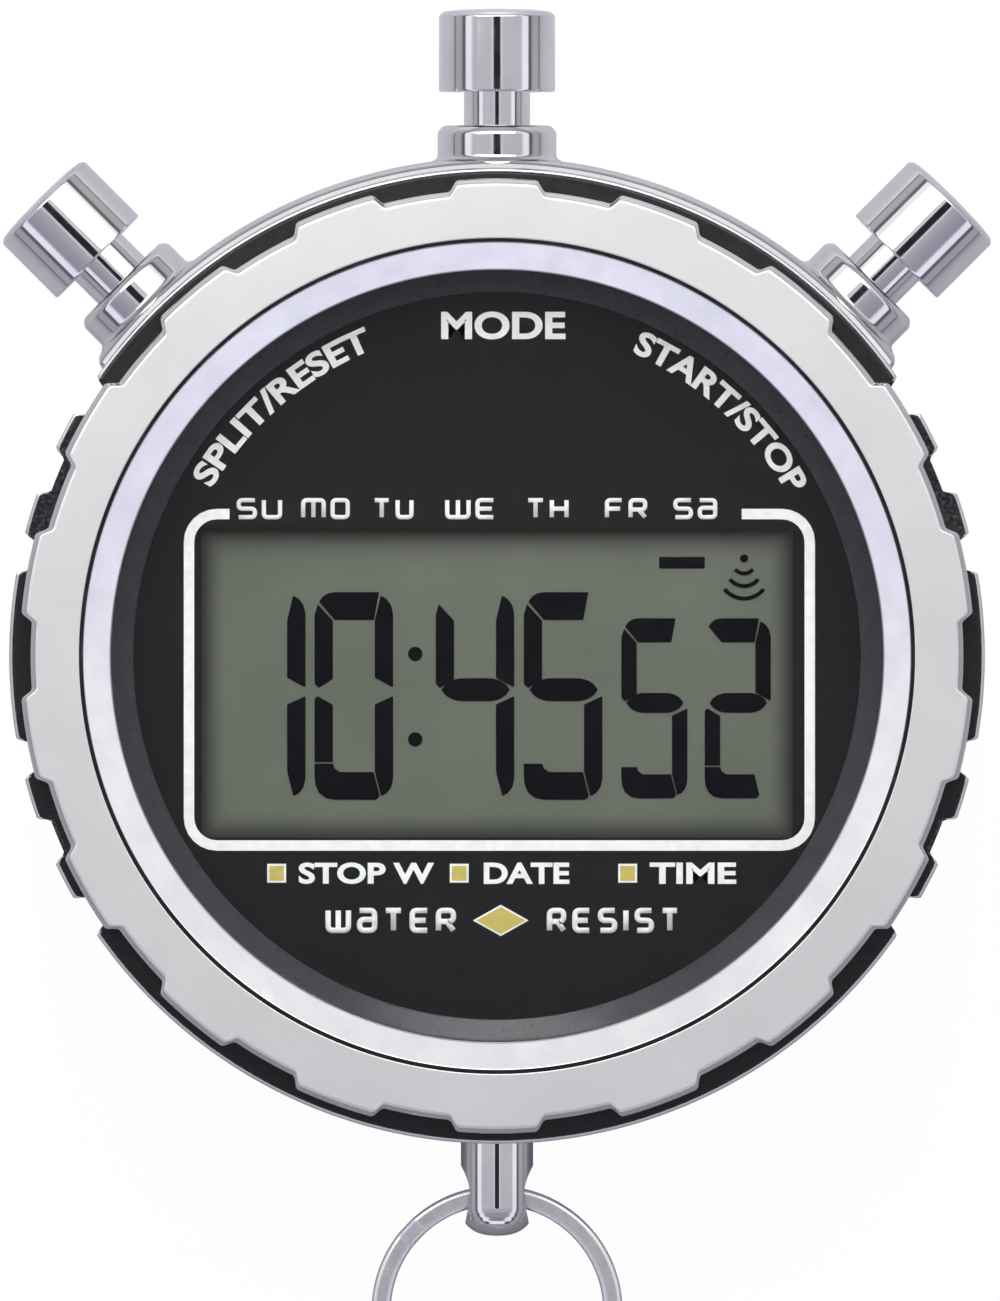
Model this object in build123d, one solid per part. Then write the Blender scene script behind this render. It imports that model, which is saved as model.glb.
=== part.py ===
from build123d import *
import os
from math import cos, radians, sin

# Handheld digital stopwatch lying on its back, in millimetres.
# Z points out of the dial, Y points to the mode pusher, Z = 0 is the back's resting face.
# Angles of things round the rim are in degrees, clockwise from the mode pusher.

# ---- Driving dimensions -------------------------------------------------------------------

# Rim of the case
CREST_R = 31.0          # tops of the rim's arcs and lugs
VALLEY_R = 30.2         # floors between them
SHOULDER_R = 31.7       # band that the pushers stand on
SHOULDER_INNER_R = 29.0
SHOULDER_HALF_ANGLE = 54.0
SHOULDER_HALF_HEIGHT = 4.4
SHOULDER_ROUNDING = 0.9
TOP_ARC_END = 55.0
BOTTOM_ARC_START = 125.0
SIDE_LUGS = [(60.3, 64.7), (70.6, 75.3), (80.3, 99.7), (104.7, 109.4), (115.3, 119.7)]
LUG_FLANK = 0.9         # how much wider a lug is at its foot, each side
LIP = 0.25              # thin chrome edge outside the trim ring
RIM_ROUNDING = 0.32

# Black trim ring
TRIM_INNER_R = 27.6
TRIM_HEIGHT = 1.2
TRIM_CUT_ANGLE = 69.5   # middle of each upper pair of small lugs, where the ring is cut back
TRIM_CUT_R = 29.35
TRIM_CUT_WIDTH = 6.6

# Bezel
BEZEL_R = 30.3
NOTCH_R = 29.6
NOTCH_COUNT = 18
NOTCH_HALF = 5.0        # at the rim
NOTCH_FLANK = 0.7
GROOVE_R = 26.4
GROOVE_WIDTH = 0.25
GROOVE_DEPTH = 0.25
LIP_R = 24.5            # inner edge of the bezel
BEVEL_FOOT_Z = 16.25    # where the polished bevel meets the lens lip
SKIRT_OUTER_R = 27.4    # skirt that stands on the case, inside the trim ring
SKIRT_INNER_R = 25.9

# Lens and dial ring
LENS_R = 25.8
LENS_Z = 14.5
LENS_TOP_Z = 15.9
SLOPE_TOP_R = 24.45     # upper edge of the dial ring's slope

# Heights
BACK_SKIN_Z = 0.35      # outer step of the back, above its resting pad
CASE_Z = 1.5            # case bottom, top of the back's plate
SPIGOT_Z = 2.3          # back cover's spigot inside the case
SEAT_Z = 13.0           # floor under the trim ring and the dial ring
LIP_Z = 14.1            # top of the case
BEZEL_Z = 14.3          # underside of the toothed rim
TOP_Z = 17.4            # flat top of the bezel
AXIS_Z = 9.0            # pushers and lanyard post

# Back cover and its gasket
PAD_R = 19.3
BACK_R = 28.3
SPIGOT_R = 26.4
SPIGOT_BORE_R = 22.6
GASKET_OUTER_R = 27.95
GASKET_INNER_R = 27.2
GASKET_DEPTH = 0.6

# Inside
CAVITY_R = 26.6
FLANGE_Z = 11.8         # underside of the case's front flange
FLANGE_R = 24.0
DIAL_R = 23.9
DIAL_VISIBLE_R = 23.1
BOARD_R = 24.2
BOARD_Z = 6.7
BOARD_TOP_Z = 7.7
DISPLAY_FLOOR_Z = 10.35
CELL_Z = 10.6
CELL_TOP_Z = 12.2
DIAL_Z = 12.3
SEAL_GAP = 0.05         # space left round a part that drops in
POCKET_HALF = 3.2       # half width of the pockets for the post's nut and the pushers' ends
POCKET_INNER = 23.2
ANY = 10.0              # reach of a cutter well past the stock

# Display window in the dial
WINDOW_X = 18.8
WINDOW_TOP = 8.06
WINDOW_BOTTOM = -11.55
CELL_MARGIN = 1.1

# Pushers: distances are from the dial's axis, along the pusher
PUSHERS = {"mode": 0.0, "start_stop": 45.0, "split_reset": -45.0}
CAP_R = 3.7
CAP_INNER = 35.9
CAP_OUTER = 41.2
STEM_R = 2.1
ROD_R = 1.2
STEM_SHOULDER = 31.6
STEM_END = 25.2
COLLAR_R = 3.8
COLLAR_FOOT_R = 4.2
COLLAR_SEAT = 31.2
COLLAR_TOP = 33.75
COLLAR_END = 26.5
SHANK_R = 2.8
SPRING_SEAT = 28.2
SPRING_WIRE = 0.35
SPRING_TURNS = 4.0
CLIP_INNER = 26.06
CLIP_THICKNESS = 0.4
ORING_AT = 32.7
ORING_WIRE_R = 0.45
TRAVEL = 1.5            # how far a pusher goes in
SWITCH_GAP = 0.15       # left between a pressed stem and its switch leaf
LEAF_THICKNESS = 0.25
SLIDE_FIT = 0.05        # radial running clearance
PRESS_FIT = 0.02        # radial gap drawn at pressed or glued joints

# Lanyard post and split ring: distances along -Y from the dial's axis
POST_R = 2.3
POST_SEAT = 29.4
POST_END = 36.9
POST_SHANK_R = 1.3
POST_HOLE_AT = 34.33
POST_HOLE_R = 1.15
POST_FLARE_R = 1.8
POST_NUT_INNER = 23.9
RING_R = 8.0
RING_WIDTH = 1.25
RING_LAYER = 0.72       # thickness of one turn of the ring
RING_GAP = 0.03         # between the two turns
RING_STEP_ANGLE = 47.0  # where one turn steps up to the other, anticlockwise from the post
RING_END_GAP = 3.0
RING_Y = -(POST_HOLE_AT + RING_R - RING_WIDTH / 2)

# Fasteners of the back
BACK_SCREW_R = 24.9
BACK_SCREW_ANGLES = [70.0, 135.0, 225.0, 290.0]
BOSS_R = 1.9
SCREW_R = 0.8
SCREW_HEAD_R = 1.6
SCREW_HEAD_Z = 0.4      # flat of the heads
SCREW_CONE_Z = 1.3      # where the countersunk cone ends


# ---- Helpers ------------------------------------------------------------------------------

def rim_point(angle, radius):
    """Point at a clockwise angle from +Y."""
    return (radius * sin(radians(angle)), radius * cos(radians(angle)))


def rim_arc(start, end, radius):
    """Arc about the dial's axis between two clockwise angles."""
    middle = (start + end) / 2
    return ThreePointArc(rim_point(start, radius), rim_point(middle, radius), rim_point(end, radius))


def toothed_face(crests, high, low, flank, rounding):
    """Flat face whose edge steps between crests at radius high and valleys at radius low."""
    edges = []
    for index, (start, end) in enumerate(crests):
        following = crests[(index + 1) % len(crests)][0]
        if following < end:
            following += 360.0
        edges.append(rim_arc(start, end, high))
        edges.append(Line(rim_point(end, high), rim_point(end + flank, low)))
        edges.append(rim_arc(end + flank, following - flank, low))
        edges.append(Line(rim_point(following - flank, low), rim_point(following, high)))
    face = make_face(edges)
    return fillet(face.vertices(), rounding)


def ring(outer, inner, low, high):
    """Plain ring about the dial's axis."""
    return tube(outer, inner, high - low).moved(Pos(0, 0, low))


def tube(outer, inner, length):
    """Tube standing on the origin."""
    section = Circle(outer) - Circle(inner)
    return extrude(section, length)


def disc(radius, low, high, x=0.0, y=0.0):
    """Upright disc."""
    return Pos(x, y, low) * extrude(Circle(radius), high - low)


def block(x_low, x_high, y_low, y_high, z_low, z_high):
    """Box between six faces."""
    centre = ((x_low + x_high) / 2, (y_low + y_high) / 2, (z_low + z_high) / 2)
    return Pos(*centre) * Box(x_high - x_low, y_high - y_low, z_high - z_low)


def turned(points):
    """Solid of revolution about Z from (radius, height) corners."""
    outline = Polyline([(r, 0, z) for r, z in points], close=True)
    return revolve(make_face(outline), Axis.Z, 360)


def at_rim(part, angle):
    """Lay a part made along Z out along the rim direction, at the pushers' height."""
    return Pos(0, 0, AXIS_Z) * Rot(0, 0, -angle) * Rot(-90, 0, 0) * part


# ---- Case ---------------------------------------------------------------------------------

def case_crests():
    """Raised stretches of the case's rim, clockwise from the top arc."""
    right = list(SIDE_LUGS)
    left = [(360.0 - end, 360.0 - start) for start, end in reversed(SIDE_LUGS)]
    top = (-TOP_ARC_END, TOP_ARC_END)
    bottom = (BOTTOM_ARC_START, 360.0 - BOTTOM_ARC_START)
    return [top] + right + [bottom] + left


def case_envelope():
    """Rounded side of the case, as a solid of revolution."""
    corners = [
        (0, CASE_Z), (28.9, CASE_Z), (30.1, 2.6), (30.8, 4.2), (31.05, 6.0),
        (31.05, 13.7), (30.85, LIP_Z), (0, LIP_Z),
    ]
    return turned(corners)


def pusher_shoulder():
    """Band round the top of the case that the three collars stand on."""
    centre = Pos((SHOULDER_INNER_R + SHOULDER_R) / 2, AXIS_Z)
    width = SHOULDER_R - SHOULDER_INNER_R
    outline = centre * RectangleRounded(width, 2 * SHOULDER_HALF_HEIGHT, SHOULDER_ROUNDING)
    upright = Plane.XZ * outline
    band = revolve(upright, Axis.Z, 2 * SHOULDER_HALF_ANGLE)
    return Rot(0, 0, 90 - SHOULDER_HALF_ANGLE) * band


def screw_boss(angle):
    """Column inside the case for one back screw."""
    x, y = rim_point(angle, BACK_SCREW_R)
    return disc(BOSS_R, SPIGOT_Z + SEAL_GAP, BOARD_Z - 0.4, x, y)


def case_body():
    """Case with its rim of arcs and lugs, seats, cavity, screw bosses and side holes."""
    outline = toothed_face(case_crests(), CREST_R, VALLEY_R, LUG_FLANK, RIM_ROUNDING)
    body = extrude(outline, LIP_Z) & case_envelope()
    body += pusher_shoulder()
    body -= disc(CAVITY_R, 0, FLANGE_Z)
    body -= disc(FLANGE_R, 0, LIP_Z + 1)
    body -= ring(GASKET_OUTER_R, GASKET_INNER_R, CASE_Z - 1, CASE_Z + GASKET_DEPTH)
    pocket = toothed_face(case_crests(), CREST_R - LIP, VALLEY_R - LIP, LUG_FLANK, RIM_ROUNDING - 0.02)
    body -= Pos(0, 0, SEAT_Z) * extrude(pocket, LIP_Z)
    for angle in BACK_SCREW_ANGLES:
        x, y = rim_point(angle, BACK_SCREW_R)
        body += screw_boss(angle)
        body -= disc(SCREW_R + PRESS_FIT, 0, BOARD_Z - 1.2, x, y)
    for angle in PUSHERS.values():
        body -= at_rim(disc(SHANK_R + PRESS_FIT, CAVITY_R - 2, COLLAR_SEAT + 1), angle)
        body -= at_rim(disc(COLLAR_FOOT_R + SLIDE_FIT, COLLAR_SEAT, COLLAR_SEAT + ANY), angle)
    body -= at_rim(disc(POST_SHANK_R + PRESS_FIT, CAVITY_R - 2, POST_SEAT + 1), 180)
    body -= at_rim(disc(POST_R + SLIDE_FIT, POST_SEAT, POST_SEAT + ANY), 180)
    return body


def black_trim_ring():
    """Black moulded band, cut back behind the two upper pairs of small lugs."""
    inset = LIP + PRESS_FIT
    face = toothed_face(case_crests(), CREST_R - inset, VALLEY_R - inset, LUG_FLANK, RIM_ROUNDING - 0.02)
    body = extrude(face, TRIM_HEIGHT) - disc(TRIM_INNER_R, -1, TRIM_HEIGHT + 1)
    for angle in (TRIM_CUT_ANGLE, -TRIM_CUT_ANGLE):
        x, y = rim_point(angle, CREST_R)
        cutter = Rot(0, 0, -angle) * Box(TRIM_CUT_WIDTH, 2 * (CREST_R - TRIM_CUT_R), ANY)
        body -= Pos(x, y, 0) * cutter
    return Pos(0, 0, SEAT_Z) * body


def bezel():
    """Notched ring with a groove line, a polished bevel, a lens seat and a skirt."""
    pitch = 360.0 / NOTCH_COUNT
    crests = []
    for index in range(NOTCH_COUNT):
        centre = index * pitch
        crests.append((centre - pitch / 2 + NOTCH_HALF, centre + pitch / 2 - NOTCH_HALF))
    outline = toothed_face(crests, BEZEL_R, NOTCH_R, NOTCH_FLANK, 0.22)
    rim = Pos(0, 0, BEZEL_Z) * extrude(outline, TOP_Z - BEZEL_Z)
    envelope = turned([
        (0, SEAT_Z), (BEZEL_R + 0.1, SEAT_Z), (BEZEL_R + 0.1, TOP_Z - 0.45), (BEZEL_R - 0.35, TOP_Z),
        (0, TOP_Z),
    ])
    body = rim & envelope
    body += ring(SKIRT_OUTER_R, SKIRT_INNER_R, SEAT_Z, BEZEL_Z + 0.1)
    seat_r = LENS_R + SEAL_GAP
    groove_inner_r = GROOVE_R - GROOVE_WIDTH / 2
    groove_outer_r = GROOVE_R + GROOVE_WIDTH / 2
    bevel_top_r = groove_inner_r + 0.025
    opening = turned([
        (0, SEAT_Z - 1), (seat_r, SEAT_Z - 1), (seat_r, LENS_TOP_Z), (LIP_R, LENS_TOP_Z),
        (LIP_R, BEVEL_FOOT_Z), (bevel_top_r, TOP_Z - 0.05), (bevel_top_r, TOP_Z + 1), (0, TOP_Z + 1),
    ])
    body -= opening
    body -= ring(groove_outer_r, groove_inner_r, TOP_Z - GROOVE_DEPTH, TOP_Z + 1)
    return body


def dial_ring():
    """Dark ring whose inner face slopes down to the dial."""
    return turned([
        (DIAL_VISIBLE_R, SEAT_Z), (LENS_R, SEAT_Z), (LENS_R, LIP_Z), (SLOPE_TOP_R, LIP_Z),
        (DIAL_VISIBLE_R, SEAT_Z + 0.15),
    ])


def lens():
    return disc(LENS_R, LENS_Z, LENS_TOP_Z)


def lens_gasket():
    return ring(LENS_R, LIP_R, LIP_Z, LENS_Z)


def dial_plate():
    window = block(-WINDOW_X, WINDOW_X, WINDOW_BOTTOM, WINDOW_TOP, DIAL_Z - 1, SEAT_Z + 1)
    return disc(DIAL_R, DIAL_Z, SEAT_Z) - window


# ---- Back ---------------------------------------------------------------------------------

def back_cover():
    """Flat back with a resting pad, a chamfered edge, a spigot and countersunk holes."""
    body = turned([
        (0, 0), (PAD_R, 0), (PAD_R + 0.4, BACK_SKIN_Z), (BACK_R - 0.4, BACK_SKIN_Z),
        (BACK_R, BACK_SKIN_Z + 0.4), (BACK_R, CASE_Z), (SPIGOT_R, CASE_Z), (SPIGOT_R, SPIGOT_Z),
        (SPIGOT_BORE_R, SPIGOT_Z), (SPIGOT_BORE_R, CASE_Z), (0, CASE_Z),
    ])
    hole_r = SCREW_R + 0.15
    for angle in BACK_SCREW_ANGLES:
        x, y = rim_point(angle, BACK_SCREW_R)
        sink = Cone(SCREW_HEAD_R + SEAL_GAP, hole_r, 1.0)
        body -= disc(hole_r, -1, SPIGOT_Z + 1, x, y)
        body -= Pos(x, y, BACK_SKIN_Z + 0.5) * sink
    return body


def back_gasket():
    return ring(GASKET_OUTER_R - 0.03, GASKET_INNER_R + 0.03, CASE_Z, CASE_Z + GASKET_DEPTH - 0.02)


def back_screws():
    """Four countersunk screws with cross slots."""
    screws = []
    for angle in BACK_SCREW_ANGLES:
        x, y = rim_point(angle, BACK_SCREW_R)
        head_height = SCREW_CONE_Z - SCREW_HEAD_Z
        head = Pos(0, 0, (SCREW_HEAD_Z + SCREW_CONE_Z) / 2) * Cone(SCREW_HEAD_R, SCREW_R, head_height)
        shank = disc(SCREW_R, BACK_SKIN_Z + 0.5, BOARD_Z - 1.4)
        slots = Box(2.0, 0.34, 0.8) + Box(0.34, 2.0, 0.8)
        screw = head + shank - Pos(0, 0, BACK_SKIN_Z) * slots
        screws.append(Pos(x, y, 0) * Rot(0, 0, angle) * screw)
    return Compound(screws)


# ---- Pushers ------------------------------------------------------------------------------

def cap():
    """Pusher head with a fine rim round its slightly domed top."""
    bore_r = ROD_R + 0.3 + PRESS_FIT
    return turned([
        (bore_r, CAP_INNER), (CAP_R - 0.2, CAP_INNER), (CAP_R, CAP_INNER + 0.2),
        (CAP_R, CAP_OUTER - 0.45), (CAP_R - 0.25, CAP_OUTER - 0.2), (CAP_R - 0.55, CAP_OUTER - 0.15),
        (2.0, CAP_OUTER - 0.03), (0, CAP_OUTER), (0, 39.1), (bore_r, 39.1),
    ])


def stem():
    """Rod, clip groove, spring shoulder, guided barrel with O-ring groove, and cap spigot."""
    groove = ROD_R - 0.28
    clip_low = CLIP_INNER - 0.02
    clip_high = CLIP_INNER + CLIP_THICKNESS + 0.02
    return turned([
        (0, STEM_END), (ROD_R - 0.3, STEM_END), (ROD_R, STEM_END + 0.3), (ROD_R, clip_low),
        (groove, clip_low), (groove, clip_high), (ROD_R, clip_high), (ROD_R, STEM_SHOULDER),
        (STEM_R, STEM_SHOULDER), (STEM_R, ORING_AT - 0.5), (ROD_R, ORING_AT - 0.5),
        (ROD_R, ORING_AT + 0.5), (STEM_R, ORING_AT + 0.5), (STEM_R, CAP_INNER),
        (ROD_R + 0.3, CAP_INNER), (ROD_R + 0.3, 39.0), (0, 39.0),
    ])


def collar():
    """Guide tube: flared foot on the case, rounded mouth, shank through the case wall."""
    bore = STEM_R + SLIDE_FIT
    rod_bore = ROD_R + SLIDE_FIT
    return turned([
        (rod_bore, COLLAR_END), (SHANK_R, COLLAR_END), (SHANK_R, COLLAR_SEAT),
        (COLLAR_FOOT_R, COLLAR_SEAT), (COLLAR_FOOT_R, COLLAR_SEAT + 0.35),
        (COLLAR_R + 0.12, COLLAR_SEAT + 0.6), (COLLAR_R, COLLAR_SEAT + 0.95),
        (COLLAR_R, COLLAR_TOP - 0.65), (COLLAR_R - 0.14, COLLAR_TOP - 0.28),
        (COLLAR_R - 0.5, COLLAR_TOP), (bore, COLLAR_TOP), (bore, SPRING_SEAT), (rod_bore, SPRING_SEAT),
    ])


def spring():
    """Return spring round the stem's rod, between the collar's seat and the stem's shoulder."""
    low = SPRING_SEAT + SPRING_WIRE / 2 + 0.03
    high = STEM_SHOULDER - SPRING_WIRE / 2 - 0.03
    coil_r = STEM_R - SPRING_WIRE / 2 - 0.1
    path = Helix((high - low) / SPRING_TURNS, high - low, coil_r)
    section = Plane(path @ 0, z_dir=path % 0) * Circle(SPRING_WIRE / 2)
    return Pos(0, 0, low) * sweep(section, path=path, is_frenet=True)


def oring():
    """Seal between stem and collar."""
    major = STEM_R + SLIDE_FIT - 0.03 - ORING_WIRE_R
    return Pos(0, 0, ORING_AT) * Torus(major, ORING_WIRE_R)


def clip():
    """Open washer in the rod's groove, inside the case."""
    body = tube(2.2, ROD_R - 0.26, CLIP_THICKNESS)
    body -= Pos(0, 1.5, 0) * Box(1.7, 3.0, 2.0)
    return Pos(0, 0, CLIP_INNER) * body


# ---- Lanyard post and ring ----------------------------------------------------------------

def lanyard_post():
    """Post made along Z, then laid towards -Y. Its cross hole has flared mouths."""
    body = turned([
        (0, POST_NUT_INNER - 0.2), (POST_SHANK_R, POST_NUT_INNER - 0.2), (POST_SHANK_R, POST_SEAT),
        (POST_R, POST_SEAT), (POST_R, POST_END - 0.95), (POST_R - 0.2, POST_END - 0.5),
        (POST_R - 0.75, POST_END - 0.15), (0.7, POST_END), (0, POST_END),
    ])
    hole = Rot(0, 90, 0) * Cylinder(POST_HOLE_R, 8)
    flare = Pos(1.95, 0, 0) * Rot(0, 90, 0) * Cone(POST_HOLE_R, POST_FLARE_R + 0.25, 1.3)
    cutter = hole + flare + mirror(flare, Plane.YZ)
    body -= Pos(0, 0, POST_HOLE_AT) * cutter
    return at_rim(body, 180)


def lanyard_nut():
    """Hexagon nut that holds the post from inside the case."""
    body = Pos(0, 0, POST_NUT_INNER) * extrude(RegularPolygon(2.6, 6), 1.9)
    body -= Pos(0, 0, POST_NUT_INNER) * extrude(Circle(POST_SHANK_R + PRESS_FIT), 4)
    return at_rim(body, 180)


def split_ring():
    """Two flat turns of wire joined by a short step, as one piece of wire."""
    offset = (RING_LAYER + RING_GAP) / 2
    mean = RING_R - RING_WIDTH / 2
    gap = Box(RING_END_GAP, 3, RING_LAYER + RING_GAP)
    turns = []
    for side in (-1, 1):
        turn = Pos(0, 0, side * offset - RING_LAYER / 2) * tube(RING_R, RING_R - RING_WIDTH, RING_LAYER)
        turns.append(turn - Rot(0, 0, RING_STEP_ANGLE + side * 10) * Pos(0, mean, side * offset) * gap)
    step = Rot(0, 0, RING_STEP_ANGLE) * Pos(0, mean, 0) * Box(1.6, RING_WIDTH - 0.1, 2 * RING_LAYER)
    return Pos(0, RING_Y, AXIS_Z) * (turns[0] + turns[1] + step)


# ---- Module -------------------------------------------------------------------------------

def cell_box(margin, low, high):
    """Block as large as the display cell plus a margin."""
    reach = CELL_MARGIN + margin
    return block(-WINDOW_X - reach, WINDOW_X + reach, WINDOW_BOTTOM - reach, WINDOW_TOP + reach, low, high)


def zebra_box(y_centre, margin):
    """Block as large as one contact strip plus a margin."""
    return block(-17.5 - margin, 17.5 + margin, y_centre - 0.85 - margin, y_centre + 0.85 + margin,
                 BOARD_TOP_Z, CELL_Z)


ZEBRA_YS = (WINDOW_TOP + 0.1, WINDOW_BOTTOM - 0.1)
BOARD_SCREWS = [(-19.5, 11.5), (19.5, 11.5), (-14.0, -17.0), (14.0, -17.0)]
BATTERY_X = 0.0
BATTERY_Y = -8.0
BATTERY_R = 10.0
BATTERY_Z = 3.3
BATTERY_TOP_Z = 6.4
PIEZO_Y = 12.5


def module_frame():
    """Plastic frame that holds the display, the contact strips and the board."""
    body = disc(CAVITY_R - 0.3, BOARD_TOP_Z, FLANGE_Z - 0.05)
    body += disc(FLANGE_R - 0.1, FLANGE_Z - 0.1, DIAL_Z)
    body += ring(CAVITY_R - 0.3, 25.3, SPIGOT_Z + 0.05, BOARD_TOP_Z + 0.1)
    body -= cell_box(0.05, DISPLAY_FLOOR_Z, DIAL_Z + 1)
    for y_centre in ZEBRA_YS:
        body -= zebra_box(y_centre, 0.05)
    for angle in BACK_SCREW_ANGLES:
        x, y = rim_point(angle, BACK_SCREW_R)
        body -= disc(BOSS_R + 0.3, 0, BOARD_Z, x, y)
    for angle in PUSHERS.values():
        pocket = block(-POCKET_HALF - 0.1, POCKET_HALF + 0.1, -ANY, ANY, POCKET_INNER - 0.3, CREST_R)
        body -= at_rim(pocket, angle)
    body -= at_rim(block(-POCKET_HALF, POCKET_HALF, -ANY, ANY, POCKET_INNER, CREST_R), 180)
    for x, y in BOARD_SCREWS:
        body -= disc(0.62, BOARD_TOP_Z - 1, BOARD_TOP_Z + 2.4, x, y)
    return body


def lcd_cell():
    return cell_box(0, CELL_Z, CELL_TOP_Z)


def lcd_reflector():
    return block(-19.0, 19.0, ZEBRA_YS[1] + 1.1, ZEBRA_YS[0] - 1.1, DISPLAY_FLOOR_Z, CELL_Z)


def zebra_strips():
    return Compound([zebra_box(y_centre, 0) for y_centre in ZEBRA_YS])


def circuit_board():
    """Round board, notched for the screw bosses and the post's nut."""
    body = disc(BOARD_R, BOARD_Z, BOARD_TOP_Z)
    for angle in BACK_SCREW_ANGLES:
        x, y = rim_point(angle, BACK_SCREW_R)
        body -= disc(BOSS_R + 0.3, 0, 20, x, y)
    body -= at_rim(block(-POCKET_HALF, POCKET_HALF, -ANY, ANY, POCKET_INNER, CREST_R), 180)
    for x, y in BOARD_SCREWS:
        body -= disc(0.7, 0, 20, x, y)
    return body


def chip_cover():
    """Domed epoxy drop over the bonded chip."""
    radius = 3.6
    height = 1.0
    sphere_r = (radius ** 2 + height ** 2) / (2 * height)
    ball = Pos(0, PIEZO_Y - 3, BOARD_Z - height + sphere_r) * Sphere(sphere_r)
    return ball & block(-5, 5, PIEZO_Y - 9, PIEZO_Y + 3, BOARD_Z - height, BOARD_Z)


def quartz_can():
    return Pos(12.5, 9.0, BOARD_Z - 1.0) * Rot(90, 0, 0) * Cylinder(0.99, 6.0)


def switch_leaves():
    """Three brass leaves on the board, each just short of a pressed stem, with its foot inwards."""
    face = STEM_END - TRAVEL - SWITCH_GAP
    foot_inner = POCKET_INNER - 0.25
    down = AXIS_Z - BOARD_TOP_Z
    leaves = []
    for angle in PUSHERS.values():
        upright = block(-1.3, 1.3, -1.3, down, face - LEAF_THICKNESS, face)
        foot = block(-1.3, 1.3, down - LEAF_THICKNESS, down, foot_inner, face)
        leaves.append(at_rim(upright + foot, angle))
    return Compound(leaves)


def battery():
    """Coin cell with its smaller face up."""
    body = disc(BATTERY_R, BATTERY_Z, BATTERY_TOP_Z - 0.4, BATTERY_X, BATTERY_Y)
    return body + disc(BATTERY_R - 1.2, BATTERY_TOP_Z - 0.4, BATTERY_TOP_Z, BATTERY_X, BATTERY_Y)


def battery_holder():
    """Ring round the cell, open on one side."""
    body = ring(11.1, BATTERY_R + 0.15, BATTERY_Z, BOARD_Z).moved(Pos(BATTERY_X, BATTERY_Y, 0))
    opening = block(-6, 6, BATTERY_Y - 14, BATTERY_Y - 5, BATTERY_Z - 1, BOARD_Z - 0.6)
    return body - opening


def battery_clip():
    """Steel strap over the cell, with two feet on the board."""
    strap = block(-12.2, 12.2, BATTERY_Y - 2, BATTERY_Y + 2, BATTERY_Z - 0.3, BATTERY_Z)
    strap += block(-12.2, -11.9, BATTERY_Y - 2, BATTERY_Y + 2, BATTERY_Z - 0.3, BOARD_Z)
    strap += block(11.9, 12.2, BATTERY_Y - 2, BATTERY_Y + 2, BATTERY_Z - 0.3, BOARD_Z)
    return strap


def battery_contact():
    return block(-5, 5, BATTERY_Y - 1.5, BATTERY_Y + 1.5, BATTERY_TOP_Z, BOARD_Z)


def piezo_plate():
    return disc(8.5, CASE_Z, CASE_Z + 0.3, 0, PIEZO_Y)


def piezo_ceramic():
    return disc(6.0, CASE_Z + 0.3, CASE_Z + 0.5, 0, PIEZO_Y)


def buzzer_springs():
    """Two contact springs, one on the plate and one on the ceramic."""
    coils = []
    for x, foot in ((-7.2, CASE_Z + 0.3), (5.0, CASE_Z + 0.5)):
        low = foot + 0.17
        high = BOARD_Z - 0.17
        path = Helix((high - low) / 5.0, high - low, 0.75)
        section = Plane(path @ 0, z_dir=path % 0) * Circle(0.15)
        coils.append(Pos(x, PIEZO_Y, low) * sweep(section, path=path, is_frenet=True))
    return Compound(coils)


def board_screws():
    """Four small slotted screws that hold the board to the frame."""
    screws = []
    for x, y in BOARD_SCREWS:
        head = disc(1.15, BOARD_Z - 0.6, BOARD_Z) - Pos(0, 0, BOARD_Z - 0.6) * Box(1.5, 0.3, 0.5)
        screw = head + disc(0.6, BOARD_Z, BOARD_TOP_Z + 2.3)
        screws.append(Pos(x, y, 0) * screw)
    return Compound(screws)


# ---- Nodes --------------------------------------------------------------------------------

def pusher_nodes():
    """The six pieces of each pusher, laid out at its angle."""
    makers = {"cap": cap, "stem": stem, "collar": collar, "spring": spring, "oring": oring, "clip": clip}
    nodes = {}
    for pusher, angle in PUSHERS.items():
        for piece, maker in makers.items():
            nodes[f"{pusher}_{piece}"] = at_rim(maker(), angle)
    return nodes


def all_nodes():
    makers = [
        case_body, black_trim_ring, bezel, dial_ring, lens, lens_gasket, dial_plate, back_cover,
        back_gasket, back_screws, lanyard_post, lanyard_nut, split_ring, module_frame, lcd_cell,
        lcd_reflector, zebra_strips, circuit_board, chip_cover, quartz_can, switch_leaves, battery,
        battery_holder, battery_clip, battery_contact, piezo_plate, piezo_ceramic, buzzer_springs,
        board_screws,
    ]
    nodes = {maker.__name__: maker() for maker in makers}
    nodes.update(pusher_nodes())
    return nodes


os.makedirs("parts", exist_ok=True)
for name, shape in all_nodes().items():
    export_step(shape, f"parts/{name}.step")
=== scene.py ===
import bmesh
import bpy
from math import atan2, cos, degrees, hypot, pi, radians, sin, sqrt
from mathutils import Matrix, Vector


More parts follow.
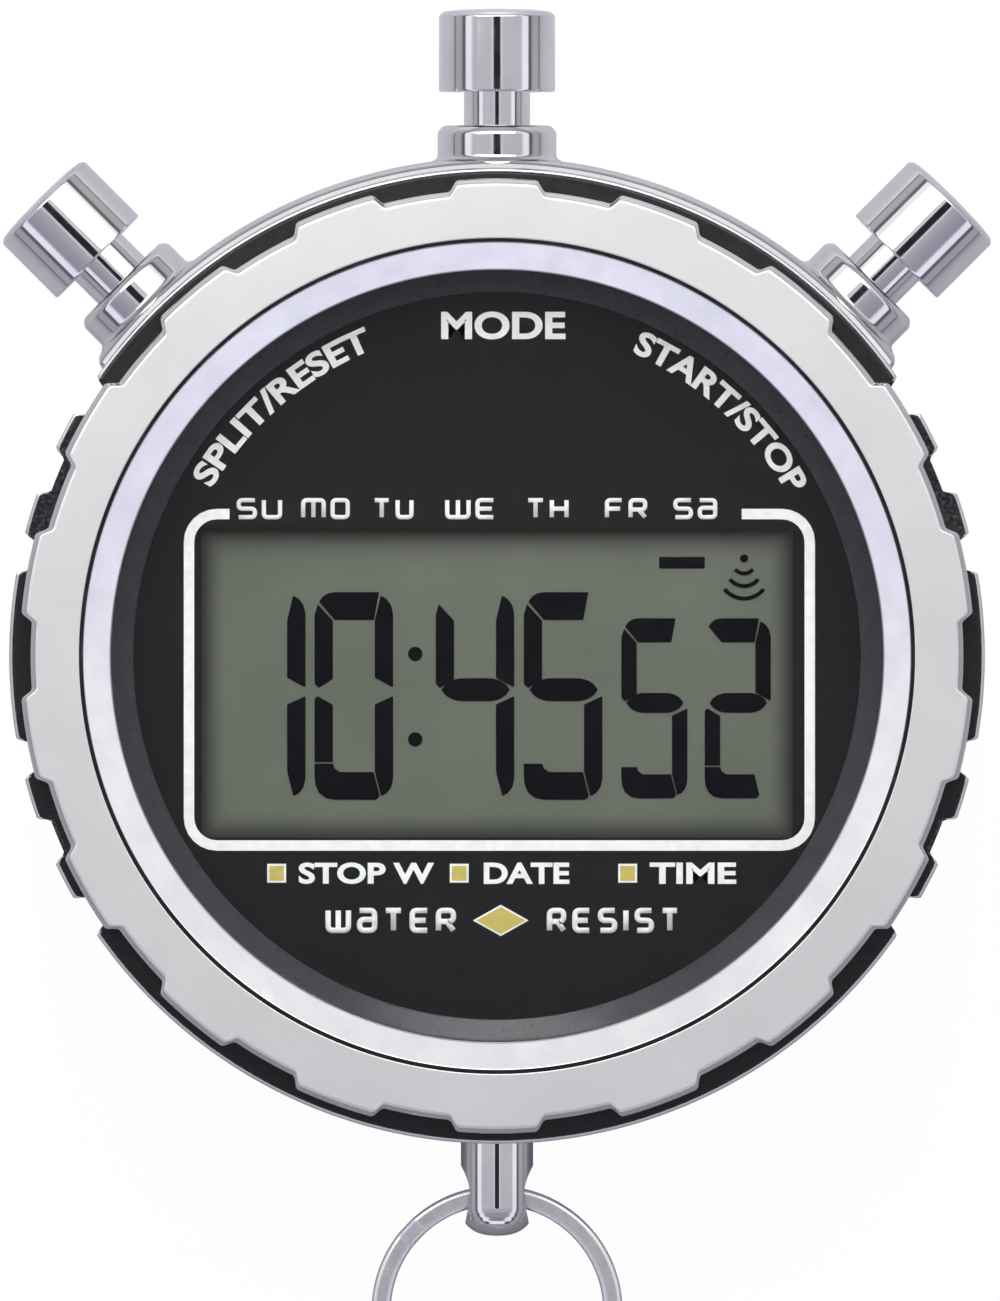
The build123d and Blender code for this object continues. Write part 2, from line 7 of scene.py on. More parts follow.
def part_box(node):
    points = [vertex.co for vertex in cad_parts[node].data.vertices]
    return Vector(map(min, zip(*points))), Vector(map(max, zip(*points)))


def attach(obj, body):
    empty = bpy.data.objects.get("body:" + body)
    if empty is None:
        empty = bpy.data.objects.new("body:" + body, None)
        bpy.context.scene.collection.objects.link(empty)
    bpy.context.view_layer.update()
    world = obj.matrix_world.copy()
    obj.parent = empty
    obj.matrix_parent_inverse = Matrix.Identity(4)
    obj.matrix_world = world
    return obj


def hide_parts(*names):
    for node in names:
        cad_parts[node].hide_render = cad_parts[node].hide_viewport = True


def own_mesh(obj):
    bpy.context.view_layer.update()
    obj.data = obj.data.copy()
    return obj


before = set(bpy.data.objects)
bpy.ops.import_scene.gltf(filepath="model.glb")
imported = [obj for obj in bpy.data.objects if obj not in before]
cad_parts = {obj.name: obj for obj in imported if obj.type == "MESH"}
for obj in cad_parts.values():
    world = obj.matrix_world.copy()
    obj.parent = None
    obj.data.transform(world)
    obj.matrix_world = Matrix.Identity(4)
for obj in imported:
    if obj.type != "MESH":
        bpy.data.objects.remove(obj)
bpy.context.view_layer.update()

# Handheld digital stopwatch, lying on its back. Pieces are shaped in millimetres about the
# dial's axis and scaled to metres when they are finished. Rim angles are in degrees, clockwise
# from the mode pusher.
MM = 0.001


def corner(node, which):
    """Lowest (0) or highest (1) corner of a CAD node, in millimetres."""
    return Vector(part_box(node)[which]) / MM


# ---- Sizes that the frame gives -----------------------------------------------------------

CREST_R = corner("case_body", 1).x
LIP_Z = corner("case_body", 1).z
CASE_Z = corner("case_body", 0).z
SEAT_Z = corner("black_trim_ring", 0).z
TRIM_TOP_Z = corner("black_trim_ring", 1).z
TRIM_R = corner("black_trim_ring", 1).x
BEZEL_R = corner("bezel", 1).y
TOP_Z = corner("bezel", 1).z
LENS_R = corner("lens", 1).x
LENS_Z = corner("lens", 0).z
LENS_TOP_Z = corner("lens", 1).z
DIAL_Z = corner("dial_plate", 1).z
RING_OUT_R = corner("dial_ring", 1).x
RING_TOP_Z = corner("dial_ring", 1).z
CELL_TOP_Z = corner("lcd_cell", 1).z
CELL_MARGIN = Vector((1.1, 1.1, 0))
WINDOW_LOW = corner("lcd_cell", 0) + CELL_MARGIN
WINDOW_HIGH = corner("lcd_cell", 1) - CELL_MARGIN
AXIS_Z = (corner("mode_cap", 0).z + corner("mode_cap", 1).z) / 2
CAP_R = corner("mode_cap", 1).x
CAP_INNER = corner("mode_cap", 0).y
CAP_OUTER = corner("mode_cap", 1).y
COLLAR_FOOT_R = corner("mode_collar", 1).x
COLLAR_END = corner("mode_collar", 0).y
COLLAR_TOP = corner("mode_collar", 1).y
STEM_R = corner("mode_stem", 1).x
STEM_END = corner("mode_stem", 0).y
STEM_TIP = corner("mode_stem", 1).y
POST_R = corner("lanyard_post", 1).x
POST_END = -corner("lanyard_post", 0).y
POST_INNER = -corner("lanyard_post", 1).y
RING_R = corner("split_ring", 1).x
RING_Y = (corner("split_ring", 0).y + corner("split_ring", 1).y) / 2

# ---- Sizes of details ---------------------------------------------------------------------

VALLEY_DEPTH = 0.8
LIP_WIDTH = 0.25
LUG_FLANK = 0.9
SIDE_FOOT_R = 28.9
SIDE_CURVE_HEIGHT = 4.5
SIDE_CURVE_POWER = 2.8
FOOT_EDGE_R = 28.0           # the case's shaped side lies outside this radius
CAVITY_R = 26.6
FLANGE_R = 24.0
FLANGE_Z = 11.8
TOP_ARC = 55.0
BOTTOM_ARC = 125.0
SIDE_LUGS = [(60.3, 64.7), (70.6, 75.3), (80.3, 99.7), (104.7, 109.4), (115.3, 119.7)]
SHOULDER_R = 31.7
SHOULDER_ANGLE = 54.0
SHOULDER_HALF_HEIGHT = 4.4
SHOULDER_ROUND = 0.9
TRIM_CUT = (62.5, 76.5)      # bare chrome behind the upper small lugs
TRIM_CUT_R = 29.35
TRIM_INNER_R = 27.6
TRIM_EDGE_R = 29.0           # the band's shaped edge lies outside this radius
NOTCH_PITCH = 20.0
NOTCH_HALF = 5.3
NOTCH_FLANK = 1.3
NOTCH_DEPTH = 0.7
NOTCH_INNER_R = 28.45        # the bezel's shaped edge lies outside this radius
SKIRT_IN_R = 25.9
SKIRT_OUT_R = 27.4
BEVEL_FOOT_Z = 16.25
GROOVE_R = 26.4
GROOVE_HALF = 0.125
BEZEL_LIP_R = 24.5
DIAL_R = 23.1
SLOPE_TOP_R = 24.45
RIM_STEPS = 1080
RIM_SECTORS = 18
PUSHERS = {"mode": 0.0, "start_stop": 45.0, "split_reset": -45.0}
BORE_BEGIN = 24.0            # rim distances between which the case is bored
BORE_END = 36.0
ROD_R = 1.2
CLIP_GROOVE = (26.04, 26.48)
CLIP_GROOVE_R = 0.92
SEAL_GROOVE = (32.2, 33.2)
SPIGOT_R = 1.5
CAP_BORE_END = 39.1
SHANK_R = 2.8
COLLAR_R = 3.78
COLLAR_SEAT = 31.2
SPRING_SEAT = 28.2
SPRING_TOP = 31.6
SPRING_WIRE = 0.35
SPRING_TURNS = 4
COIL_R = 1.825
POST_SHANK_R = 1.3
POST_SEAT = 29.4
POST_HOLE_R = 1.15
POST_FLARE_R = 1.95
POST_HOLE_AT = -(RING_Y + RING_R - 0.625)
RING_WIDTH = 1.25
RING_LAYER = 0.72
RING_RISE = 0.75
RING_STEP = 47.0             # degrees from the post to the step
RING_RAMP = 8.0
RING_GAP = 26.0
INK = 0.03                   # thickness drawn for printed ink
PRINT_Z = DIAL_Z + 0.002
SHARP = 35.0                 # degrees between faces that still shade as one surface
HOLD = 0.04                  # distance of a holding loop from a corner


# ---- Material helpers ---------------------------------------------------------------------

def linear(hex_colour):
    """Linear RGBA from an sRGB hex colour."""
    parts = [int(hex_colour[i:i + 2], 16) / 255 for i in (1, 3, 5)]
    curve = [c / 12.92 if c <= 0.04045 else ((c + 0.055) / 1.055) ** 2.4 for c in parts]
    return (*curve, 1.0)


def add(tree, kind, inputs=None, **settings):
    """Add a node. inputs gives each socket a value or another node's output."""
    made = tree.nodes.new("ShaderNode" + kind)
    for key, value in settings.items():
        setattr(made, key, value)
    for socket, value in (inputs or {}).items():
        if isinstance(value, bpy.types.NodeSocket):
            tree.links.new(value, made.inputs[socket])
        else:
            made.inputs[socket].default_value = value
    return made


def start(name):
    """Empty material, its tree and its object coordinates in metres."""
    material = bpy.data.materials.new(name)
    material.use_nodes = True
    tree = material.node_tree
    tree.nodes.clear()
    place = add(tree, "TexCoord").outputs["Object"]
    return material, tree, place


def finished(material, shader):
    """The material, with a shader sent to its output."""
    add(material.node_tree, "OutputMaterial", {0: shader.outputs[0]})
    return material


def speckle(tree, place, size_mm, low, high, detail=3.0):
    """Noise with blobs of about size_mm, spread from low to high."""
    noise = add(tree, "TexNoise", {"Vector": place, "Scale": 1 / (size_mm * MM), "Detail": detail})
    return add(tree, "MapRange", {
        "Value": noise.outputs["Fac"], "From Min": 0.3, "From Max": 0.7, "To Min": low, "To Max": high,
    }).outputs["Result"]


def tint(tree, factor, first, second):
    """Blend of two hex colours."""
    mix = add(tree, "Mix", {"Factor": factor, 6: linear(first), 7: linear(second)}, data_type="RGBA")
    return mix.outputs[2]


def raised(tree, height, depth_mm, strength=1.0):
    """Normal from a height between 0 and 1 that stands for depth_mm."""
    return add(tree, "Bump", {"Height": height, "Distance": depth_mm * MM, "Strength": strength}).outputs[0]


def radius_of(tree, place):
    """Distance from the dial's axis."""
    apart = add(tree, "SeparateXYZ", {0: place})
    across = add(tree, "CombineXYZ", {0: apart.outputs[0], 1: apart.outputs[1]})
    return add(tree, "VectorMath", {0: across.outputs[0]}, operation="LENGTH").outputs["Value"]


# ---- Metals -------------------------------------------------------------------------------

def polished_chrome_plate():
    """Chrome on turned and polished brass: a sharp mirror, with faint handling haze."""
    material, tree, place = start("chrome_plate_polished_brass")
    haze = speckle(tree, place, 1.6, 0.035, 0.10)
    wave = speckle(tree, place, 0.9, 0.0, 1.0, 1.0)
    shader = add(tree, "BsdfPrincipled", {
        "Base Color": tint(tree, speckle(tree, place, 3.0, 0.0, 1.0), "#DDDDDF", "#D2D2D6"),
        "Metallic": 1.0, "Roughness": haze, "Normal": raised(tree, wave, 0.002, 0.2),
    })
    return finished(material, shader)


def cast_chrome_plate():
    """Chrome on buffed zinc die-casting: a mirror with slight orange peel and fine rub marks."""
    material, tree, place = start("chrome_plate_zinc_casting")
    peel = speckle(tree, place, 1.2, 0.0, 1.0, 1.0)
    rub = speckle(tree, place, 0.25, 0.05, 0.16, 4.0)
    shader = add(tree, "BsdfPrincipled", {
        "Base Color": tint(tree, speckle(tree, place, 5.0, 0.0, 1.0), "#DCDCDF", "#CFCFD4"),
        "Metallic": 1.0, "Roughness": rub, "Normal": raised(tree, peel, 0.004, 0.5),
    })
    return finished(material, shader)


def satin_chrome_plate():
    """Chrome over a blasted and lightly turned face: soft sheen, with hair-fine rings.

    The turning lines are really about 0.05 mm apart and are drawn at 0.16 mm, so that they show.
    """
    material, tree, place = start("satin_chrome_plate")
    lines = add(tree, "Math", {0: radius_of(tree, place), 1: 2 * pi / (0.16 * MM)}, operation="MULTIPLY")
    ripple = add(tree, "Math", {0: lines.outputs[0]}, operation="SINE").outputs[0]
    grain = speckle(tree, place, 0.12, 0.40, 0.48, 2.0)
    height = add(tree, "Math", {0: ripple, 1: 0.25, 2: speckle(tree, place, 0.1, 0.0, 1.0)},
                 operation="MULTIPLY_ADD").outputs[0]
    shader = add(tree, "BsdfPrincipled", {
        "Base Color": tint(tree, speckle(tree, place, 6.0, 0.0, 1.0), "#E3E3E3", "#DEDEDE"),
        "Metallic": 1.0, "Roughness": grain, "Normal": raised(tree, height, 0.002, 0.35),
    })
    return finished(material, shader)


def circular_brushed_steel():
    """Stainless sheet brushed in rings: the light fans out across the rings.

    The scratches are really about 0.03 mm wide and are drawn at 0.1 mm, so that they show.
    """
    material, tree, place = start("stainless_circular_brushed")
    across = add(tree, "CombineXYZ", {0: radius_of(tree, place)}).outputs[0]
    rings = add(tree, "TexNoise", {"Vector": across, "Scale": 1 / (0.1 * MM), "Detail": 3.0}).outputs["Fac"]
    rough = add(tree, "MapRange", {"Value": rings, "To Min": 0.2, "To Max": 0.42}).outputs[0]
    scuff = speckle(tree, place, 2.5, 0.0, 1.0)
    shader = add(tree, "BsdfPrincipled", {
        "Base Color": tint(tree, scuff, "#CDCDCC", "#C6C6C5"),
        "Metallic": 1.0, "Roughness": rough, "Normal": raised(tree, rings, 0.006, 0.7),
    })
    return finished(material, shader)


def plain_metal(name, light, dark, low, high, grain_mm):
    """Small metal parts: drawn wire, nickel plate, rolled sheet. The grain breaks up the sheen."""
    material, tree, place = start(name)
    shader = add(tree, "BsdfPrincipled", {
        "Base Color": tint(tree, speckle(tree, place, grain_mm * 4, 0.0, 1.0), light, dark),
        "Metallic": 1.0, "Roughness": speckle(tree, place, grain_mm, low, high),
        "Normal": raised(tree, speckle(tree, place, grain_mm, 0.0, 1.0), 0.003, 0.4),
    })
    return finished(material, shader)


# ---- Plastics, rubber and inks ------------------------------------------------------------

def moulded(name, light, dark, roughness, grain_mm, depth_mm, ior=1.54):
    """Moulded or printed surface with a fine texture and slight change of tone."""
    material, tree, place = start(name)
    low, high = roughness
    shader = add(tree, "BsdfPrincipled", {
        "Base Color": tint(tree, speckle(tree, place, grain_mm * 12, 0.0, 1.0), light, dark),
        "Roughness": speckle(tree, place, grain_mm * 3, low, high), "IOR": ior,
        "Normal": raised(tree, speckle(tree, place, grain_mm, 0.0, 1.0, 2.0), depth_mm, 0.5),
    })
    return finished(material, shader)


def clear_acrylic():
    """Polished acrylic. Lamps shine straight through it, so what it covers stays lit."""
    material, tree, _ = start("clear_acrylic")
    glass = add(tree, "BsdfPrincipled", {
        "Base Color": linear("#FDFEFE"), "Transmission Weight": 1.0, "IOR": 1.49, "Roughness": 0.0,
    })
    clear = add(tree, "BsdfTransparent", {0: linear("#F8FAFA")})
    path = add(tree, "LightPath")
    mix = add(tree, "MixShader", {0: path.outputs["Is Shadow Ray"], 1: glass.outputs[0], 2: clear.outputs[0]})
    return finished(material, mix)


def display_cell():
    """Reflective liquid-crystal cell: cloudy grey-green polariser over foil.

    It darkens over the last 1.7 mm to the window's edge. This is a painted shadow of the mask, which cuts the
    light that the foil would send back through the glass.
    """
    material, tree, place = start("polariser_grey_green_painted_edge_shadow")
    apart = add(tree, "SeparateXYZ", {0: place})
    low, high = WINDOW_LOW * MM, WINDOW_HIGH * MM
    nearest = None
    for axis in (0, 1):
        middle = (low[axis] + high[axis]) / 2
        half = (high[axis] - low[axis]) / 2
        away = add(tree, "Math", {0: apart.outputs[axis], 1: middle}, operation="SUBTRACT").outputs[0]
        away = add(tree, "Math", {0: away}, operation="ABSOLUTE").outputs[0]
        inside = add(tree, "Math", {0: half, 1: away}, operation="SUBTRACT").outputs[0]
        if nearest is None:
            nearest = inside
        else:
            blend = add(tree, "Math", {0: nearest, 1: inside, 2: 1.0 * MM}, operation="SMOOTH_MIN")
            nearest = blend.outputs[0]
    # Painted shadow of the window's mask: 0 at the window's edge, 1 from 1.7 mm inside it
    edge = add(tree, "MapRange", {"Value": nearest, "From Min": -0.2 * MM, "From Max": 1.7 * MM},
               interpolation_type="SMOOTHSTEP").outputs["Result"]
    cloud = tint(tree, speckle(tree, place, 9.0, 0.0, 1.0, 2.0), "#66695F", "#5F6358")
    # The cell's colour, with painted shade: dark grey at the window's edge as the mask's shadow
    colour = add(tree, "Mix", {"Factor": edge, 6: linear("#2E302B"), 7: cloud}, data_type="RGBA").outputs[2]
    shader = add(tree, "BsdfPrincipled", {
        "Base Color": colour, "Roughness": speckle(tree, place, 0.3, 0.24, 0.27), "IOR": 1.5,
        "Normal": raised(tree, speckle(tree, place, 0.3, 0.0, 1.0), 0.0004, 0.3),
    })
    return finished(material, shader)


def printed_board():
    """Green solder mask with tracks showing as slightly lighter, raised lines."""
    material, tree, place = start("solder_mask_board")
    tracks = add(tree, "TexBrick", {
        "Vector": place, "Scale": 1 / (2.4 * MM), "Mortar Size": 0.05, "Color1": (0, 0, 0, 1),
        "Color2": (0.15, 0.15, 0.15, 1), "Mortar": (1, 1, 1, 1),
    }).outputs["Color"]
    shader = add(tree, "BsdfPrincipled", {
        "Base Color": tint(tree, tracks, "#12502A", "#2C7A44"),
        "Roughness": speckle(tree, place, 0.5, 0.3, 0.42),
        "Normal": raised(tree, tracks, 0.03, 0.6),
    })
    return finished(material, shader)


def layered_rubber():
    """Zebra strip: black and grey silicone layers 0.1 mm thick, drawn at 0.3 mm along X."""
    material, tree, place = start("zebra_silicone")
    bands = add(tree, "TexWave", {"Vector": place, "Scale": 1 / (0.3 * MM) / 6.3}, bands_direction="X")
    shader = add(tree, "BsdfPrincipled", {
        "Base Color": tint(tree, bands.outputs["Fac"], "#17171A", "#8C8C90"),
        "Roughness": speckle(tree, place, 0.4, 0.55, 0.7),
    })
    return finished(material, shader)


CHROME = polished_chrome_plate()
CASE_CHROME = cast_chrome_plate()
SATIN = satin_chrome_plate()
STEEL_BACK = circular_brushed_steel()
WIRE = plain_metal("nickel_plated_spring_wire", "#EFEFF1", "#E8E8EB", 0.25, 0.28, 0.6)
NICKEL = plain_metal("nickel_plated_steel", "#C9C6BD", "#B3B0A6", 0.22, 0.34, 0.3)
BRASS = plain_metal("rolled_brass", "#CFA95A", "#B48C3F", 0.25, 0.4, 0.3)
FOIL = plain_metal("matt_foil", "#C4C8C0", "#B2B6AE", 0.4, 0.5, 0.4)
BAND_BLACK = moulded("abs_black_band", "#0E0E0F", "#0A0A0B", (0.28, 0.40), 0.12, 0.004, 1.46)
DARK_RING = moulded("abs_dark_ring", "#3E3D43", "#38373C", (0.26, 0.36), 0.10, 0.003, 1.42)
DIAL_BLACK = moulded("screen_print_black", "#1D1D1E", "#1B1B1C", (0.20, 0.22), 0.08, 0.0004, 1.38)
WHITE_INK = moulded("screen_print_white", "#F6F6F4", "#E8E8E6", (0.4, 0.5), 0.06, 0.002, 1.5)
GOLD_INK = moulded("screen_print_gold", "#CDBB66", "#BFAA55", (0.35, 0.45), 0.06, 0.002, 1.5)
SEGMENT = moulded("liquid_crystal_segment", "#07070C", "#0B0B10", (0.24, 0.26), 0.2, 0.0003, 1.25)
RUBBER = moulded("nitrile_rubber", "#1C1C1C", "#262626", (0.55, 0.7), 0.1, 0.006, 1.52)
FRAME_ABS = moulded("abs_ivory_frame", "#DEDCD2", "#D2D0C6", (0.4, 0.52), 0.1, 0.004)
EPOXY = moulded("black_epoxy", "#101011", "#18181A", (0.15, 0.25), 0.5, 0.01, 1.55)
CERAMIC = moulded("fired_piezo_ceramic", "#E2DDCB", "#D6D0BC", (0.5, 0.62), 0.06, 0.004, 1.6)
ACRYLIC = clear_acrylic()
CELL = display_cell()
BOARD = printed_board()
ZEBRA = layered_rubber()


# ---- Shaping helpers ----------------------------------------------------------------------

def profile(mesh, corners, closed=True):
    """Wire in the XZ plane through (radius, height, rounding) corners."""
    points = [mesh.verts.new((radius, 0, height)) for radius, height, _ in corners]
    for first, second in zip(points, points[1:]):
        mesh.edges.new((first, second))
    if closed:
        mesh.edges.new((points[-1], points[0]))
    for point, (_, _, rounding) in zip(points, corners):
        if rounding:
            bmesh.ops.bevel(mesh, geom=[point], offset=rounding, affect="VERTICES",
                            segments=4 if rounding > 0.1 else 2, profile=0.5, material=-1)
    hold_straights(mesh)


def hold_straights(mesh):
    """Points close to both ends of each long run, so that its sheen stays straight."""
    for edge in list(mesh.edges):
        length = edge.calc_length()
        if length > 6 * HOLD:
            rest, _ = bmesh.utils.edge_split(edge, edge.verts[0], HOLD / length)
            far = rest if rest.calc_length() > length / 2 else edge
            bmesh.utils.edge_split(far, far.verts[1], HOLD / far.calc_length())


def spin_round(mesh, steps, sectors=1):
    """Spin the whole wire once round Z and close it. Many steps go faster in equal sectors."""
    sector = 2 * pi / sectors
    bmesh.ops.spin(mesh, geom=mesh.verts[:] + mesh.edges[:], cent=(0, 0, 0), axis=(0, 0, 1),
                   angle=sector, steps=steps // sectors, use_merge=sectors == 1)
    first = mesh.verts[:] + mesh.edges[:] + mesh.faces[:]
    for index in range(1, sectors):
        made = bmesh.ops.duplicate(mesh, geom=first)["geom"]
        verts = [item for item in made if isinstance(item, bmesh.types.BMVert)]
        bmesh.ops.rotate(mesh, verts=verts, cent=(0, 0, 0), matrix=Matrix.Rotation(index * sector, 3, "Z"))
    bmesh.ops.remove_doubles(mesh, verts=mesh.verts[:], dist=1e-4)


def turned(corners, steps=96, closed=True):
    """Turned solid from (radius, height, rounding) corners."""
    mesh = bmesh.new()
    profile(mesh, corners, closed)
    spin_round(mesh, steps)
    return mesh


def along_rim(angle):
    """Lays a piece made along Z out along a rim direction, at the pushers' height."""
    lift = Matrix.Translation((0, 0, AXIS_Z))
    return lift @ Matrix.Rotation(radians(-angle), 4, "Z") @ Matrix.Rotation(radians(-90), 4, "X")


def in_scene(name, data):
    """New object with this data, linked to the scene."""
    made = bpy.data.objects.new(name, data)
    bpy.context.scene.collection.objects.link(made)
    return made


def absorb(mesh, other):
    """Add another bmesh to this one and free it."""
    data = bpy.data.meshes.new("absorbed")
    other.to_mesh(data)
    other.free()
    mesh.from_mesh(data)
    bpy.data.meshes.remove(data)


def shade(mesh, sharp=SHARP):
    """Smooth shading that breaks at edges sharper than this many degrees."""
    for edge in mesh.edges:
        edge.smooth = edge.calc_face_angle(0.0) < radians(sharp)
    for face in mesh.faces:
        face.smooth = True


def make_piece(name, mesh, materials, body, replaces=(), place=None, sharp=SHARP):
    """Turn a bmesh in millimetres into a finished piece that rides on a body."""
    if place is not None:
        mesh.transform(place)
    mesh.transform(Matrix.Scale(MM, 4))
    bmesh.ops.recalc_face_normals(mesh, faces=mesh.faces[:])
    shade(mesh, sharp)
    data = bpy.data.meshes.new(name)
    mesh.to_mesh(data)
    mesh.free()
    for material in materials:
        data.materials.append(material)
    piece = in_scene(name, data)
    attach(piece, body)
    if replaces:
        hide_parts(*replaces)
    return piece


def rim_angle(point):
    """Clockwise angle from the mode pusher, from 0 to 360."""
    return degrees(atan2(point.x, point.y)) % 360.0


def set_radius(vert, radius):
    """Move a vertex to a new distance from the dial's axis."""
    factor = radius / hypot(vert.co.x, vert.co.y)
    vert.co.x *= factor
    vert.co.y *= factor


def eased(value):
    """0 below 0, 1 above 1, smooth between."""
    value = min(max(value, 0.0), 1.0)
    return value * value * (3 - 2 * value)


# ---- Case, trim ring and bezel ------------------------------------------------------------

def rim_spans():
    """Raised stretches of the case's rim, from 0 to 360 degrees."""
    left = [(360.0 - end, 360.0 - begin) for begin, end in SIDE_LUGS]
    bottom = (BOTTOM_ARC, 360.0 - BOTTOM_ARC)
    return SIDE_LUGS + left + [bottom, (-TOP_ARC, TOP_ARC), (360.0 - TOP_ARC, 360.0 + TOP_ARC)]


RIM_SPANS = rim_spans()


def crest(angle):
    """How far up a lug's flank an angle is: 1 on a crest, 0 in a valley."""
    outside = min(max(begin - angle, angle - end) for begin, end in RIM_SPANS)
    return 1.0 - eased(outside / LUG_FLANK)


def rim_radius(angle):
    """Outer radius of the case's rim."""
    return CREST_R - VALLEY_DEPTH * (1.0 - crest(angle))


def shoulder_radius(angle, height):
    """Radius of the band under the pushers, or 0 outside it."""
    from_top = abs((angle + 180.0) % 360.0 - 180.0)
    depth = min(SHOULDER_HALF_HEIGHT - abs(height - AXIS_Z),
                radians(SHOULDER_ANGLE - from_top) * SHOULDER_R)
    if depth <= 0:
        return 0.0
    inset = max(SHOULDER_ROUND - depth, 0.0)
    return SHOULDER_R - SHOULDER_ROUND + sqrt(SHOULDER_ROUND ** 2 - inset ** 2)


def side_radius(height):
    """Case side between its bottom edge and the straight wall."""
    part = min((height - CASE_Z) / SIDE_CURVE_HEIGHT, 1.0)
    return SIDE_FOOT_R + (CREST_R - SIDE_FOOT_R) * (1.0 - (1.0 - part) ** SIDE_CURVE_POWER)


def case_side():
    """Side corners from bottom to top, close together where the pushers' band is rounded."""
    round_steps = [SHOULDER_ROUND * (1.0 - cos(radians(angle))) for angle in range(0, 91, 15)]
    band_low = [AXIS_Z - SHOULDER_HALF_HEIGHT + step for step in round_steps]
    band_high = [2 * AXIS_Z - height for height in reversed(band_low)]
    foot = [CASE_Z + 0.12, CASE_Z + 0.4, CASE_Z + 0.8, CASE_Z + 1.3, CASE_Z + 1.8, CASE_Z + 2.4, CASE_Z + 2.8]
    heights = foot + band_low + [7.0, 9.0, 11.0] + band_high + [13.7]
    return [(side_radius(height), height, 0) for height in heights]


def case_shell():
    """Chrome case: rounded side, arcs and lugs on the rim, lip, seat, cavity and bores."""
    mesh = bmesh.new()
    profile(mesh, [(CAVITY_R, CASE_Z, 0), (SIDE_FOOT_R - 0.1, CASE_Z, 0)] + case_side() + [
        (CREST_R, LIP_Z - 0.12, 0.06), (CREST_R - 0.08, LIP_Z, 0.03), (CREST_R - LIP_WIDTH, LIP_Z, 0.03),
        (CREST_R - LIP_WIDTH, SEAT_Z, 0), (FLANGE_R, SEAT_Z, 0), (FLANGE_R, FLANGE_Z, 0),
        (CAVITY_R, FLANGE_Z, 0),
    ])
    spin_round(mesh, RIM_STEPS, RIM_SECTORS)
    inner_r = CREST_R - LIP_WIDTH
    for vert in mesh.verts:
        radius = hypot(vert.co.x, vert.co.y)
        if radius < FOOT_EDGE_R:
            continue
        angle = rim_angle(vert.co)
        on_lip = abs(radius - inner_r) < 0.06 and vert.co.z > SEAT_Z - 0.1
        limit = rim_radius(angle) - (LIP_WIDTH if on_lip else 0.0)
        wanted = min(radius, limit)
        if not on_lip:
            wanted = max(wanted, shoulder_radius(angle, vert.co.z))
        set_radius(vert, wanted)
    piece = make_piece("case_shell", mesh, [CASE_CHROME], "case", ["case_body"])
    holes = bmesh.new()
    bores = [(SHANK_R + 0.02, COLLAR_SEAT, COLLAR_FOOT_R + 0.05, rim) for rim in PUSHERS.values()]
    bores.append((POST_SHANK_R + 0.02, POST_SEAT, POST_R + 0.05, 180.0))
    for narrow, seat, wide, angle in bores:
        one = turned([
            (0, BORE_BEGIN, 0), (narrow, BORE_BEGIN, 0), (narrow, seat, 0), (wide, seat, 0),
            (wide, BORE_END, 0), (0, BORE_END, 0),
        ], 64, False)
        one.transform(along_rim(angle))
        absorb(holes, one)
    cut(piece, holes)


def black_band():
    """Black moulded band between case and bezel, cut back behind the upper small lugs."""
    mesh = bmesh.new()
    profile(mesh, [
        (TRIM_INNER_R, SEAT_Z, 0), (TRIM_R, SEAT_Z, 0), (TRIM_R, TRIM_TOP_Z, 0.08),
        (TRIM_INNER_R, TRIM_TOP_Z, 0),
    ])
    spin_round(mesh, RIM_STEPS, RIM_SECTORS)
    begin, end = TRIM_CUT
    for vert in mesh.verts:
        radius = hypot(vert.co.x, vert.co.y)
        if radius < TRIM_EDGE_R:
            continue
        angle = rim_angle(vert.co)
        folded = min(angle, 360.0 - angle)
        wanted = min(radius, rim_radius(angle) - (CREST_R - TRIM_R))
        share = eased(folded - begin) * eased(end - folded)
        set_radius(vert, wanted + (min(TRIM_CUT_R, wanted) - wanted) * share)
    make_piece("black_band", mesh, [BAND_BLACK], "case", ["black_trim_ring"])


def notch(angle):
    """1 in a notch of the bezel, 0 on a tooth."""
    from_centre = abs((angle % NOTCH_PITCH) - NOTCH_PITCH / 2)
    return eased((NOTCH_HALF - from_centre) / NOTCH_FLANK)


def bezel_ring():
    """Satin ring with notched rim, groove line and polished bevel down to the lens."""
    groove_in = GROOVE_R - GROOVE_HALF
    groove_out = GROOVE_R + GROOVE_HALF
    mesh = bmesh.new()
    profile(mesh, [
        (SKIRT_IN_R, SEAT_Z, 0), (SKIRT_OUT_R, SEAT_Z, 0), (SKIRT_OUT_R, TRIM_TOP_Z + 0.1, 0),
        (BEZEL_R, TRIM_TOP_Z + 0.1, 0.12), (BEZEL_R, TOP_Z - 0.42, 0.12), (BEZEL_R - 0.33, TOP_Z, 0.12),
        (NOTCH_INNER_R - 0.05, TOP_Z, 0), (groove_out, TOP_Z, 0.05), (groove_out, TOP_Z - 0.25, 0),
        (groove_in, TOP_Z - 0.25, 0), (groove_in, TOP_Z - 0.05, 0.05), (BEZEL_LIP_R, BEVEL_FOOT_Z, 0.08),
        (BEZEL_LIP_R, LENS_TOP_Z + 0.01, 0), (SKIRT_IN_R, LENS_TOP_Z + 0.01, 0),
    ])
    spin_round(mesh, RIM_STEPS, RIM_SECTORS)
    for vert in mesh.verts:
        radius = hypot(vert.co.x, vert.co.y)
        if radius > NOTCH_INNER_R:
            set_radius(vert, radius - NOTCH_DEPTH * notch(rim_angle(vert.co)))
    for face in mesh.faces:
        centre = face.calc_center_median()
        satin = hypot(centre.x, centre.y) > groove_out - 0.02 and centre.z > TOP_Z - 0.05
        face.material_index = 0 if satin else 1
    make_piece("bezel_ring", mesh, [SATIN, CHROME], "case", ["bezel"], sharp=25.0)


